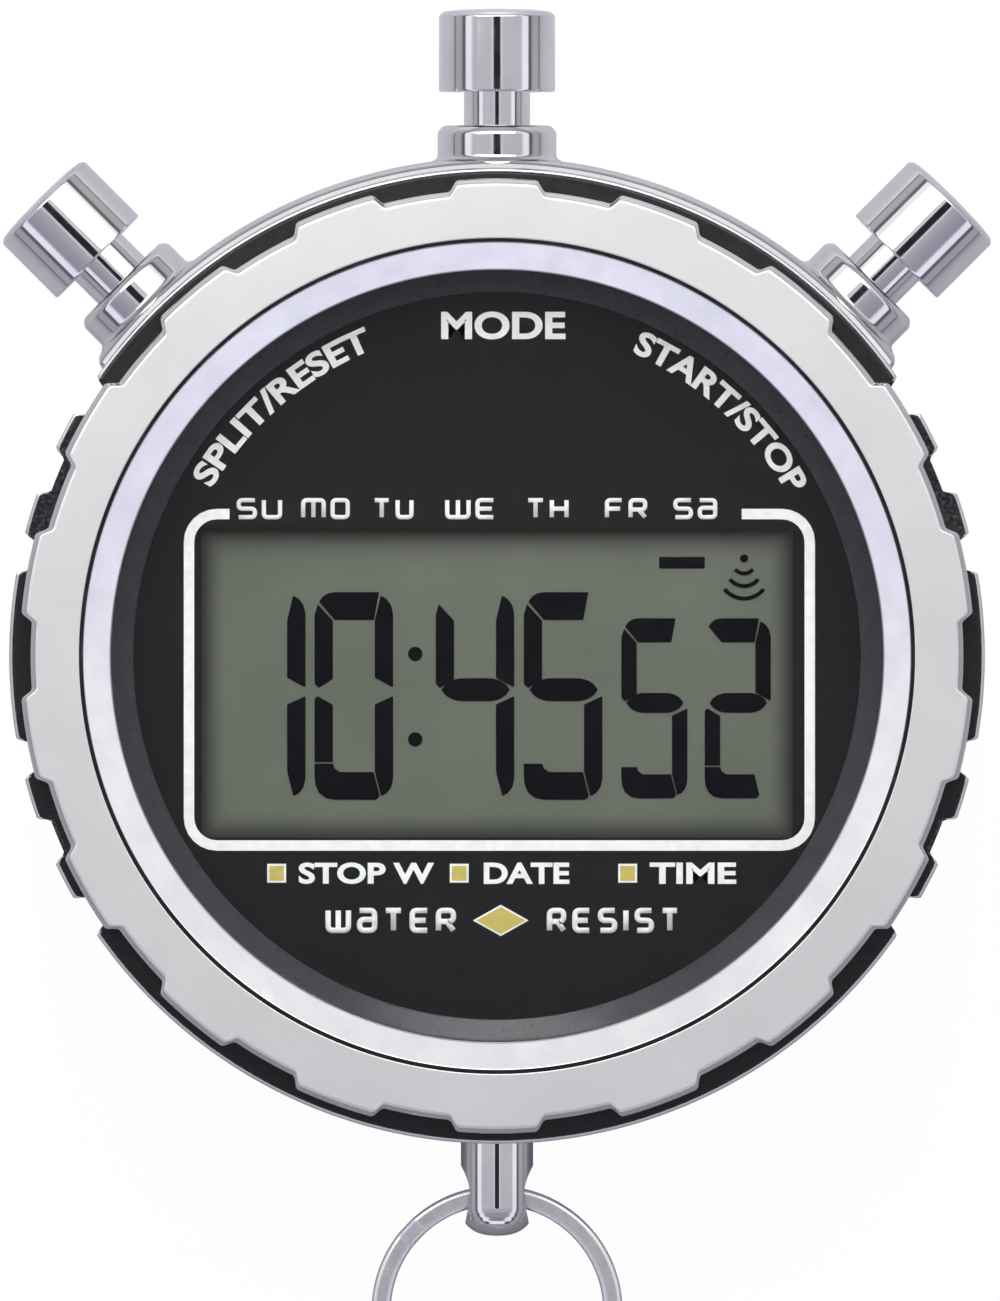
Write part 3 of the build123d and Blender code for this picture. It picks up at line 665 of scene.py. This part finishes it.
def window_lens():
    """Flat acrylic window with softened edges."""
    section = [(0, LENS_Z, 0), (LENS_R, LENS_Z, 0.1), (LENS_R, LENS_TOP_Z, 0.1), (0, LENS_TOP_Z, 0)]
    mesh = turned(section, 192, False)
    make_piece("window_lens", mesh, [ACRYLIC], "case", ["lens"])


def sloped_ring():
    """Dark ring that slopes down from the lens to the dial."""
    mesh = turned([
        (DIAL_R, SEAT_Z, 0), (RING_OUT_R, SEAT_Z, 0), (RING_OUT_R, RING_TOP_Z, 0),
        (SLOPE_TOP_R, RING_TOP_Z, 0.08), (DIAL_R, SEAT_Z + 0.15, 0.04),
    ], 256)
    make_piece("sloped_ring", mesh, [DARK_RING], "case", ["dial_ring"])


# ---- Pushers ------------------------------------------------------------------------------

def pusher_cap(name, angle):
    """Round cap, chamfered and slightly domed at its end."""
    bore = SPIGOT_R + 0.02
    mesh = turned([
        (bore, CAP_INNER, 0), (CAP_R, CAP_INNER, 0.1), (CAP_R, CAP_OUTER - 0.46, 0.06),
        (CAP_R - 0.27, CAP_OUTER - 0.21, 0.06), (2.6, CAP_OUTER - 0.07, 0.6), (0, CAP_OUTER, 0),
        (0, CAP_BORE_END, 0), (bore, CAP_BORE_END, 0),
    ], 128)
    make_piece(f"{name}_button", mesh, [CHROME], f"{name}_pusher", [f"{name}_cap"],
               along_rim(angle))


def pusher_stem(name, angle):
    """Rod with a clip groove, then a barrel with a seal groove and the cap's spigot."""
    clip_begin, clip_end = CLIP_GROOVE
    seal_begin, seal_end = SEAL_GROOVE
    mesh = turned([
        (0, STEM_END, 0), (ROD_R, STEM_END, 0.3), (ROD_R, clip_begin, 0), (CLIP_GROOVE_R, clip_begin, 0),
        (CLIP_GROOVE_R, clip_end, 0), (ROD_R, clip_end, 0), (ROD_R, SPRING_TOP, 0), (STEM_R, SPRING_TOP, 0.1),
        (STEM_R, seal_begin, 0), (ROD_R, seal_begin, 0), (ROD_R, seal_end, 0), (STEM_R, seal_end, 0),
        (STEM_R, CAP_INNER, 0), (SPIGOT_R, CAP_INNER, 0), (SPIGOT_R, STEM_TIP, 0.1), (0, STEM_TIP, 0),
    ], 96)
    make_piece(f"{name}_shaft", mesh, [CHROME], f"{name}_pusher", [f"{name}_stem"],
               along_rim(angle))


def pusher_collar(name, angle):
    """Guide tube with a flared foot and a rounded mouth."""
    bore = STEM_R + 0.05
    rod_bore = ROD_R + 0.05
    mesh = turned([
        (rod_bore, COLLAR_END, 0), (SHANK_R, COLLAR_END, 0), (SHANK_R, COLLAR_SEAT, 0),
        (COLLAR_FOOT_R, COLLAR_SEAT, 0), (COLLAR_FOOT_R, COLLAR_SEAT + 0.24, 0.1),
        (COLLAR_R, COLLAR_SEAT + 0.5, 0.16), (COLLAR_R, COLLAR_TOP - 0.42, 0.14),
        (COLLAR_R - 0.36, COLLAR_TOP, 0.18), (bore, COLLAR_TOP, 0.12), (bore, SPRING_SEAT, 0),
        (rod_bore, SPRING_SEAT, 0),
    ], 128)
    make_piece(f"{name}_guide", mesh, [CHROME], "case", [f"{name}_collar"],
               along_rim(angle))


def return_spring(name, angle):
    """Open coil between the guide's seat and the shaft's shoulder."""
    low = SPRING_SEAT + SPRING_WIRE / 2
    steps = SPRING_TURNS * 36
    rise = (SPRING_TOP - SPRING_SEAT - SPRING_WIRE) / steps
    mesh = bmesh.new()
    bmesh.ops.create_circle(mesh, segments=14, radius=SPRING_WIRE / 2 - 0.01,
                            matrix=Matrix.Translation((COIL_R, 0, low)) @ Matrix.Rotation(pi / 2, 4, "X"))
    bmesh.ops.spin(mesh, geom=mesh.verts[:] + mesh.edges[:], cent=(0, 0, 0), axis=(0, 0, 1),
                   angle=2 * pi * SPRING_TURNS, steps=steps, dvec=(0, 0, rise))
    bmesh.ops.holes_fill(mesh, edges=[edge for edge in mesh.edges if edge.is_boundary])
    piece = make_piece(f"{name}_return_spring", mesh, [WIRE], "case", [f"{name}_spring"],
                       along_rim(angle), sharp=50.0)
    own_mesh(piece)


# ---- Lanyard post and split ring ----------------------------------------------------------

def cut(piece, cutter_mesh):
    """Cut a bmesh solid, in millimetres, out of a finished piece."""
    cutter_mesh.transform(Matrix.Scale(MM, 4))
    bmesh.ops.recalc_face_normals(cutter_mesh, faces=cutter_mesh.faces[:])
    data = bpy.data.meshes.new("cutter")
    cutter_mesh.to_mesh(data)
    cutter_mesh.free()
    cutter = in_scene("cutter", data)
    modifier = piece.modifiers.new("hole", "BOOLEAN")
    modifier.operation = "DIFFERENCE"
    modifier.solver = "EXACT"
    modifier.object = cutter
    graph = bpy.context.evaluated_depsgraph_get()
    result = bpy.data.meshes.new_from_object(piece.evaluated_get(graph))
    piece.modifiers.clear()
    old = piece.data
    piece.data = result
    bpy.data.meshes.remove(old)
    bpy.data.objects.remove(cutter)
    bpy.data.meshes.remove(data)
    merged = bmesh.new()
    merged.from_mesh(result)
    bmesh.ops.remove_doubles(merged, verts=merged.verts[:], dist=2e-7)
    shade(merged)
    merged.to_mesh(result)
    merged.free()


def lanyard_stud():
    """Round post with a domed end and a cross hole with flared mouths."""
    mesh = turned([
        (0, POST_INNER, 0), (POST_SHANK_R, POST_INNER, 0.15), (POST_SHANK_R, POST_SEAT, 0),
        (POST_R, POST_SEAT, 0), (POST_R, POST_END - 1.2, 0.55), (POST_R - 0.55, POST_END - 0.42, 0.5),
        (POST_R - 1.4, POST_END - 0.06, 0.4), (0, POST_END, 0),
    ], 128)
    piece = make_piece("lanyard_stud", mesh, [CHROME], "case", ["lanyard_post"],
                       along_rim(180))
    reach = POST_R + 0.6
    hole = turned([
        (0, -reach, 0), (POST_FLARE_R + 0.25, -reach, 0), (POST_FLARE_R, -POST_R, 0.4),
        (POST_HOLE_R, -1.2, 0.6), (POST_HOLE_R, 1.2, 0.6), (POST_FLARE_R, POST_R, 0.4),
        (POST_FLARE_R + 0.25, reach, 0), (0, reach, 0),
    ], 64, False)
    hole.transform(Matrix.Translation((0, -POST_HOLE_AT, AXIS_Z)) @ Matrix.Rotation(pi / 2, 4, "Y"))
    cut(piece, hole)


def wire_turn(mesh, height, begin, sweep):
    """One flat turn of rounded flat wire about Z. Returns its first and last end loops."""
    mean = RING_R - RING_WIDTH / 2
    half_width, half_layer = RING_WIDTH / 2 - 0.005, RING_LAYER / 2
    corners = [(mean - half_width, height - half_layer), (mean + half_width, height - half_layer),
               (mean + half_width, height + half_layer), (mean - half_width, height + half_layer)]
    wire = bmesh.new()
    profile(wire, [(radius, level, 0.3) for radius, level in corners])
    wire.transform(Matrix.Rotation(begin, 4, "Z"))
    known = set(mesh.edges)
    absorb(mesh, wire)
    loop = [edge for edge in mesh.edges if edge not in known]
    verts = list({vert for edge in loop for vert in edge.verts})
    made = bmesh.ops.spin(mesh, geom=verts + loop, cent=(0, 0, 0), axis=(0, 0, 1), angle=sweep, steps=160)
    return loop, [item for item in made["geom_last"] if isinstance(item, bmesh.types.BMEdge)]


def split_wire_ring():
    """Two turns of flat wire: the lower one steps up into the upper one at the upper left."""
    mesh = bmesh.new()
    middle = 90 + RING_STEP
    sweep = radians(360 - RING_GAP)
    low_begin, high_end = radians(middle + RING_RAMP / 2), radians(middle - RING_RAMP / 2 + 360)
    low_first, low_last = wire_turn(mesh, -RING_RISE / 2, low_begin, sweep)
    high_first, high_last = wire_turn(mesh, RING_RISE / 2, high_end, -sweep)
    bmesh.ops.bridge_loops(mesh, edges=low_first + high_first)
    for loop in (low_last, high_last):
        bmesh.ops.edgeloop_fill(mesh, edges=loop)
    place = Matrix.Translation((0, RING_Y, AXIS_Z))
    make_piece("split_wire_ring", mesh, [WIRE], "ring", ["split_ring"], place, sharp=50.0)


# ---- Display ------------------------------------------------------------------------------

DRAWN_WIDTH, DRAWN_HEIGHT = 4.92, 13.2
SEGMENTS_OF = {"0": "abcdef", "1": "bc", "2": "abged", "4": "fgbc", "5": "afgcd"}
# Corners of the segments of a digit of that size, from its top left corner
SEGMENT_SHAPES = {
    "a": [(0.28, -0.62), (0.5, -0.3), (0.82, -0.08), (1.25, 0), (4.04, 0), (3.72, -1.77), (1.26, -1.77)],
    "b": [(4.14, -0.22), (4.5, -0.42), (4.78, -0.8), (4.92, -1.35), (4.92, -6.02), (4.82, -6.02),
          (3.77, -5.44), (3.77, -1.8)],
    "c": [(4.88, -6.62), (3.77, -7.14), (3.77, -11.42), (4.16, -12.96), (4.52, -12.78), (4.8, -12.4),
          (4.92, -11.85), (4.92, -6.66)],
    "d": [(0, -10.9), (1.15, -10.9), (1.26, -11.2), (1.6, -11.43), (3.7, -11.43), (4.08, -12.96),
          (3.86, -13.2), (1.25, -13.2), (0.7, -13.08), (0.26, -12.74), (0.04, -12.2), (0, -11.6)],
    "e": [(0.2, -6.6), (1.15, -7.16), (1.15, -10.8), (0, -10.8), (0, -6.78)],
    "f": [(0.2, -0.76), (1.15, -1.82), (1.15, -5.52), (0.26, -6.1), (0, -5.82), (0, -1.45)],
    "g": [(0.36, -6.2), (0.62, -5.84), (1.0, -5.6), (1.5, -5.47), (3.5, -5.47), (4.0, -5.6), (4.38, -5.84),
          (4.64, -6.2), (4.38, -6.56), (4.0, -6.8), (3.5, -6.93), (1.5, -6.93), (1.0, -6.8), (0.62, -6.56)],
}
BIG = {"top": 4.06, "width": 5.0, "height": 13.2}
SMALL = {"top": 2.4, "width": 4.2, "height": 11.45}
BIG_DIGITS = [("1", -17.17), ("0", -11.6), ("4", -3.9), ("5", 1.7)]
SMALL_DIGITS = [("5", 7.9), ("2", 13.2)]


def outline_face(mesh, points, rounding=0.0):
    """Flat face through (x, y) points, with its corners rounded."""
    corners = [mesh.verts.new((x, y, 0)) for x, y in points]
    mesh.faces.new(corners)
    amounts = rounding if isinstance(rounding, list) else [rounding] * len(corners)
    for vert, amount in zip(corners, amounts):
        if amount:
            bmesh.ops.bevel(mesh, geom=[vert], offset=amount, affect="VERTICES", segments=6,
                            profile=0.5, material=-1)


def digit(mesh, value, x, style):
    """Seven-segment digit with its top left corner at x and the style's top."""
    for letter in SEGMENTS_OF[value]:
        outline_face(mesh, [
            (x + px * style["width"] / DRAWN_WIDTH, style["top"] + py * style["height"] / DRAWN_HEIGHT)
            for px, py in SEGMENT_SHAPES[letter]
        ])


def thicken_flat(mesh, thickness):
    """Give flat faces at Z = 0 a thickness upwards."""
    made = bmesh.ops.extrude_face_region(mesh, geom=mesh.faces[:])
    verts = [item for item in made["geom"] if isinstance(item, bmesh.types.BMVert)]
    bmesh.ops.translate(mesh, verts=verts, vec=(0, 0, thickness))


def lcd_segments():
    """Lit segments: time digits, colon, dash and the beeper sign."""
    mesh = bmesh.new()
    for value, x in BIG_DIGITS:
        digit(mesh, value, x, BIG)
    for value, x in SMALL_DIGITS:
        digit(mesh, value, x, SMALL)
    outline_face(mesh, [(10.3, 5.56), (13.2, 5.56), (13.2, 6.3), (10.3, 6.3)], 0.08)
    for x, y, radius in ((-5.2, 0.13, 0.46), (-5.2, -5.3, 0.46), (15.7, 6.2, 0.26)):
        bmesh.ops.create_circle(mesh, cap_ends=True, segments=32, radius=radius,
                                matrix=Matrix.Translation((x, y, 0)))
    for drop, half in ((5.4, 0.57), (4.7, 0.92), (4.0, 1.27)):
        beeper_arc(mesh, 15.7, drop, half)
    thicken_flat(mesh, INK)
    place = Matrix.Translation((0, 0, CELL_TOP_Z + 0.005))
    make_piece("lcd_segments", mesh, [SEGMENT], "case", place=place)


def beeper_arc(mesh, x, y, half_width):
    """Shallow arc that hangs under the beeper's dot."""
    radius = half_width * 1.25
    half_angle = 0.9
    width = 0.26
    centre = Vector((x, y + radius * 0.78, 0))
    ends = [mesh.verts.new(centre + Vector((0, -(radius + side * width / 2), 0))) for side in (-1, 1)]
    edge = mesh.edges.new(ends)
    bmesh.ops.rotate(mesh, verts=ends, cent=centre, matrix=Matrix.Rotation(-half_angle, 3, "Z"))
    bmesh.ops.spin(mesh, geom=ends + [edge], cent=centre, axis=(0, 0, 1), angle=2 * half_angle, steps=14)


def printed(name, mesh, ink, x=0.0, y=0.0, z=PRINT_Z):
    """Ink on the dial, which rides on the case."""
    return make_piece(name, mesh, [ink], "case", place=Matrix.Translation((x, y, z)))


def window_line():
    """White line round the display window, open along the weekday row."""
    mesh = bmesh.new()
    outer = [(15.55, 9.35), (20.2, 9.35), (20.2, -12.37), (-19.9, -12.37), (-19.9, 9.35), (-17.0, 9.35)]
    inner = [(-17.0, 8.69), (-19.24, 8.69), (-19.24, -11.71), (19.54, -11.71), (19.54, 8.69), (15.55, 8.69)]
    outline_face(mesh, outer + inner, [0, 2.1, 2.1, 2.1, 2.1, 0, 0, 1.45, 1.45, 1.45, 1.45, 0])
    thicken_flat(mesh, INK)
    printed("window_line", mesh, WHITE_INK)


# ---- Lettering ----------------------------------------------------------------------------

def flat_words(text, height, width):
    """Bmesh of plain bold capitals, centred, of that cap height and width, INK thick."""
    curve = bpy.data.curves.new("words", "FONT")
    curve.body = text
    curve.size = 1.0
    curve.offset = 0.032
    curve.extrude = 0.01
    curve.resolution_u = 6
    words = in_scene("words", curve)
    graph = bpy.context.evaluated_depsgraph_get()
    data = bpy.data.meshes.new_from_object(words.evaluated_get(graph))
    bpy.data.objects.remove(words)
    bpy.data.curves.remove(curve)
    mesh = bmesh.new()
    mesh.from_mesh(data)
    bpy.data.meshes.remove(data)
    bmesh.ops.remove_doubles(mesh, verts=mesh.verts[:], dist=1e-5)
    low = Vector(min(v.co[i] for v in mesh.verts) for i in range(3))
    high = Vector(max(v.co[i] for v in mesh.verts) for i in range(3))
    size = high - low
    middle = (low + high) / 2
    fit = Matrix.Diagonal((width / size.x, height / size.y, INK / size.z, 1))
    mesh.transform(fit @ Matrix.Translation((-middle.x, -middle.y, -low.z)))
    return mesh


def straight_words(name, text, x, y, height, width):
    """Capitals on a straight line, centred at x and y."""
    printed(name, flat_words(text, height, width), WHITE_INK, x, y)


def arc_words(name, text, begin, end, radius, height):
    """Capitals along an arc about the dial's axis, between two rim angles."""
    mesh = flat_words(text, height, radians(end - begin) * radius)
    middle = radians((begin + end) / 2)
    for vert in mesh.verts:
        angle = middle + vert.co.x / radius
        reach = radius + vert.co.y
        vert.co = Vector((reach * sin(angle), reach * cos(angle), vert.co.z))
    printed(name, mesh, WHITE_INK)


def gold_mark(name, x, y, points, rim):
    """Gold ink shape with a white printed outline."""
    base = bmesh.new()
    outline_face(base, [(px * rim[0], py * rim[1]) for px, py in points])
    thicken_flat(base, INK)
    printed(name + "_outline", base, WHITE_INK, x, y)
    gold = bmesh.new()
    outline_face(gold, points)
    thicken_flat(gold, INK)
    printed(name, gold, GOLD_INK, x, y, PRINT_Z + INK)


# Centre lines of squared letters, in a box 1 wide and 1 high. The small a stands for A
STROKES = {
    "S": [[(1, 1), (0, 1), (0, 0.5), (1, 0.5), (1, 0), (0, 0)]],
    "U": [[(0, 1), (0, 0), (1, 0), (1, 1)]],
    "M": [[(0, 0), (0, 1), (0.5, 1), (1, 1), (1, 0)], [(0.5, 1), (0.5, 0)]],
    "O": [[(0, 0), (1, 0), (1, 1), (0, 1), (0, 0)]],
    "T": [[(0, 1), (0.5, 1), (1, 1)], [(0.5, 1), (0.5, 0)]],
    "W": [[(0, 1), (0, 0), (0.5, 0), (1, 0), (1, 1)], [(0.5, 0), (0.5, 1)]],
    "E": [[(1, 1), (0, 1), (0, 0.5), (0, 0), (1, 0)], [(0, 0.5), (0.9, 0.5)]],
    "F": [[(1, 1), (0, 1), (0, 0.5), (0, 0)], [(0, 0.5), (0.9, 0.5)]],
    "H": [[(0, 1), (0, 0.5), (0, 0)], [(1, 1), (1, 0.5), (1, 0)], [(0, 0.5), (1, 0.5)]],
    "R": [[(0, 0), (0, 0.45), (0, 1), (1, 1), (1, 0.45), (0.55, 0.45), (0, 0.45)], [(0.55, 0.45), (1, 0)]],
    "A": [[(0, 1), (1, 1), (1, 0.55), (1, 0), (0, 0), (0, 0.55), (1, 0.55)]],
    "I": [[(0, 0), (0, 1)]],
}
LETTER_WIDTHS = {"W": 1.35, "M": 1.35, "I": 0.0}


def square_words(name, text, x, y, height, width, stroke):
    """Squared letters with rounded bends, centred at x and y."""
    shares = [LETTER_WIDTHS.get(letter, 1.0) for letter in text]
    gap = stroke * 1.1
    unit = (width - len(text) * (stroke + gap) + gap) / sum(shares)
    left = x - width / 2 + stroke / 2
    low = y - height / 2 + stroke / 2
    mesh = bmesh.new()
    for letter, share in zip(text, shares):
        for line in STROKES[letter]:
            points = [mesh.verts.new((left + px * share * unit, low + py * (height - stroke), 0))
                      for px, py in line]
            for first, second in zip(points, points[1:]):
                mesh.edges.new((first, second))
        left += share * unit + stroke + gap
    bmesh.ops.remove_doubles(mesh, verts=mesh.verts[:], dist=1e-4)
    bends = [vert for vert in mesh.verts if len(vert.link_edges) == 2 and vert.calc_edge_angle() > 0.5]
    bmesh.ops.bevel(mesh, geom=bends, offset=stroke * 0.8, affect="VERTICES", segments=4,
                    profile=0.5, material=-1)
    made = bmesh.ops.extrude_edge_only(mesh, edges=mesh.edges[:])["geom"]
    verts = [item for item in made if isinstance(item, bmesh.types.BMVert)]
    bmesh.ops.translate(mesh, verts=verts, vec=(0, 0, INK))
    piece = printed(name, mesh, WHITE_INK)
    modifier = piece.modifiers.new("stroke", "SOLIDIFY")
    modifier.solidify_mode = "NON_MANIFOLD"
    modifier.thickness = stroke * MM
    modifier.offset = 0.0
    modifier.nonmanifold_merge_threshold = 1e-8


WEEKDAYS = [("SU", -15.1, 2.9), ("MO", -10.9, 3.1), ("TU", -6.6, 2.6), ("WE", -1.7, 3.2), ("TH", 3.2, 2.7),
            ("FR", 8.2, 2.7), ("SA", 12.6, 2.8)]


def dial_printing():
    """All words and marks on the dial."""
    straight_words("word_mode", "MODE", 0.4, 21.0, 1.78, 7.9)
    arc_words("word_split_reset", "SPLIT/RESET", -59.5, -22.0, 21.8, 1.6)
    arc_words("word_start_stop", "START/STOP", 24.0, 61.0, 21.9, 1.6)
    for day, x, width in WEEKDAYS:
        square_words("day_" + day.lower(), day, x, 9.36, 1.35, width, 0.27)
    straight_words("word_stop_w", "STOP W", -8.3, -13.8, 1.36, 8.6)
    straight_words("word_date", "DATE", 1.88, -13.8, 1.36, 5.44)
    straight_words("word_time", "TIME", 12.45, -13.8, 1.36, 5.5)
    square_words("word_water", "WATER", -6.75, -16.8, 1.6, 8.3, 0.34)
    square_words("word_resist", "RESIST", 7.38, -16.8, 1.6, 8.44, 0.34)
    half = 0.46
    square = [(-half, -half), (half, -half), (half, half), (-half, half)]
    for index, x in enumerate((-14.0, -2.4, 8.3)):
        gold_mark(f"gold_square_{index + 1}", x, -13.8, square, (1.3, 1.3))
    diamond = [(-1.55, 0), (0, -0.85), (1.55, 0), (0, 0.85)]
    gold_mark("gold_diamond", 0.24, -16.8, diamond, (1.14, 1.17))


# ---- Carried-over CAD pieces --------------------------------------------------------------

CARRIED = {
    "dial_plate": DIAL_BLACK, "lens_gasket": RUBBER, "back_cover": STEEL_BACK, "back_gasket": RUBBER,
    "back_screws": NICKEL, "lanyard_nut": NICKEL, "module_frame": FRAME_ABS, "lcd_cell": CELL,
    "lcd_reflector": FOIL, "zebra_strips": ZEBRA, "circuit_board": BOARD, "chip_cover": EPOXY,
    "quartz_can": NICKEL, "switch_leaves": BRASS, "battery": NICKEL, "battery_holder": EPOXY,
    "battery_clip": WIRE, "battery_contact": BRASS, "piezo_plate": BRASS, "piezo_ceramic": CERAMIC,
    "buzzer_springs": WIRE, "board_screws": NICKEL,
}


def finish_carried():
    """Give every CAD node that is shown as it is its own material."""
    materials = dict(CARRIED)
    for name in PUSHERS:
        materials[f"{name}_oring"] = RUBBER
        materials[f"{name}_clip"] = NICKEL
    for node, material in materials.items():
        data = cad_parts[node].data
        data.materials.clear()
        data.materials.append(material)


# ---- Floor, light and camera --------------------------------------------------------------

def studio_floor():
    """Pale floor. It shows nearly white with a faint shadow, and chrome mirrors it a little darker."""
    mesh = bmesh.new()
    bmesh.ops.create_grid(mesh, x_segments=1, y_segments=1, size=1.6)
    data = bpy.data.meshes.new("floor")
    mesh.to_mesh(data)
    mesh.free()
    material, tree, place = start("matt_white_floor")
    cloud = speckle(tree, place, 40.0, 0.0, 1.0)
    seen = add(tree, "BsdfDiffuse", {0: tint(tree, cloud, "#FDFDFD", "#FAFAFA")})
    glow = add(tree, "Emission", {0: (1, 1, 1, 1), 1: 1.04})
    pale = add(tree, "MixShader", {0: 0.93, 1: seen.outputs[0], 2: glow.outputs[0]})
    mirrored = add(tree, "BsdfDiffuse", {0: linear("#DEDDE5")})
    path = add(tree, "LightPath")
    mix = add(tree, "MixShader", {
        0: path.outputs["Is Camera Ray"], 1: mirrored.outputs[0], 2: pale.outputs[0],
    })
    data.materials.append(finished(material, mix))
    floor = in_scene("floor", data)
    floor.location.z = -0.0001


def softbox(name, place, size, power, colour="#FFFFFF", mirrored=True):
    """Area light aimed at the dial. One that isn't mirrored lights plastics and inks only."""
    data = bpy.data.lights.new(name, "AREA")
    data.shape = "RECTANGLE"
    data.size, data.size_y = size
    data.energy = power
    data.color = linear(colour)[:3]
    lamp = in_scene(name, data)
    lamp.location = place
    lamp.rotation_mode = "QUATERNION"
    lamp.rotation_quaternion = (-Vector(place)).to_track_quat("-Z", "Y")
    lamp.visible_camera = False
    lamp.visible_glossy = mirrored


# The tent by degrees from overhead: the camera's dark port and its bright rim, a soft roof, a
# bright band, a dark gap and grey walls. Each row is degrees, brightness, and gain towards +Y.
TENT = [
    (0.0, 0.03, 0.0), (6.5, 0.03, 0.0), (7.5, 0.95, 0.0), (10.0, 0.95, 0.0),
    (12.0, 0.73, 0.5), (48.0, 0.73, 0.5), (54.0, 1.28, -0.12), (64.0, 1.28, -0.12),
    (66.5, 0.14, 0.0), (71.0, 0.18, 0.0), (76.0, 0.56, 0.0), (100.0, 0.56, 0.0),
]
MATT_SHARE = 0.3             # of the tent's light that reaches plastics and inks


def tent_ramp(tree, angle, values):
    """Grey ramp through (degrees, value) points."""
    ramp = add(tree, "ValToRGB", {0: angle})
    elements = ramp.color_ramp.elements
    while len(elements) < len(values):
        elements.new(0.5)
    for element, (degrees_off, value) in zip(elements, values):
        element.position = degrees_off / 180.0
        element.color = (value, value, value, 1)
    return ramp.outputs[0]


def studio_world():
    """White tent, a little bluer away from the key light. The camera itself sees plain white."""
    world = bpy.data.worlds.new("tent")
    world.use_nodes = True
    tree = world.node_tree
    tree.nodes.clear()
    apart = add(tree, "SeparateXYZ", {0: add(tree, "TexCoord").outputs["Generated"]})
    angle = add(tree, "Math", {0: apart.outputs[2]}, operation="ARCCOSINE").outputs[0]
    angle = add(tree, "Math", {0: angle, 1: pi}, operation="DIVIDE").outputs[0]
    base = tent_ramp(tree, angle, [(a, even) for a, even, _ in TENT])
    lean = tent_ramp(tree, angle, [(a, slope + 0.5) for a, _, slope in TENT])
    lean = add(tree, "Math", {0: lean, 1: 0.5}, operation="SUBTRACT").outputs[0]
    light = add(tree, "Math", {0: apart.outputs[1], 1: lean, 2: base}, operation="MULTIPLY_ADD").outputs[0]
    path = add(tree, "LightPath")
    share = add(tree, "MapRange", {
        "Value": path.outputs["Is Diffuse Ray"], "To Min": 1.0, "To Max": MATT_SHARE,
    })
    light = add(tree, "Math", {0: light, 1: share.outputs[0]}, operation="MULTIPLY").outputs[0]
    side = add(tree, "MapRange", {"Value": apart.outputs[1], "From Min": -0.3, "From Max": 0.3}).outputs[0]
    tent = add(tree, "Background", {0: tint(tree, side, "#E7E7F6", "#FDFDFE"), 1: light})
    white = add(tree, "Background", {0: (1, 1, 1, 1), 1: 1.0})
    mix = add(tree, "MixShader", {0: path.outputs["Is Camera Ray"], 1: tent.outputs[0], 2: white.outputs[0]})
    add(tree, "OutputWorld", {0: mix.outputs[0]})
    bpy.context.scene.world = world


def studio_camera():
    """Long lens straight above the dial. The field is 63.45 mm wide and 82.55 mm high."""
    distance = 3.0
    field_height = 82.55 * MM
    centre = Vector((0.19 * MM, 0.35 * MM, 0))
    data = bpy.data.cameras.new("camera")
    data.sensor_width = 36.0
    data.lens = data.sensor_width * (distance - TOP_Z * MM) / field_height
    data.clip_start = 0.05
    data.clip_end = 10.0
    camera = in_scene("camera", data)
    camera.location = centre + Vector((0, 0, distance))
    bpy.context.scene.camera = camera


# ---- Build --------------------------------------------------------------------------------

studio_camera()
studio_world()
softbox("key", (-0.015, 0.115, 0.180), (0.30, 0.12), 0.225, "#FFFEF6")
softbox("top_light", (0.0, 0.210, 0.095), (0.12, 0.05), 0.24, "#FFFFFF", False)
studio_floor()
bpy.context.scene.view_settings.view_transform = "Standard"

case_shell()
black_band()
bezel_ring()
window_lens()
sloped_ring()
for pusher, rim in PUSHERS.items():
    pusher_cap(pusher, rim)
    pusher_stem(pusher, rim)
    pusher_collar(pusher, rim)
    return_spring(pusher, rim)
lanyard_stud()
split_wire_ring()
lcd_segments()
window_line()
dial_printing()
finish_carried()
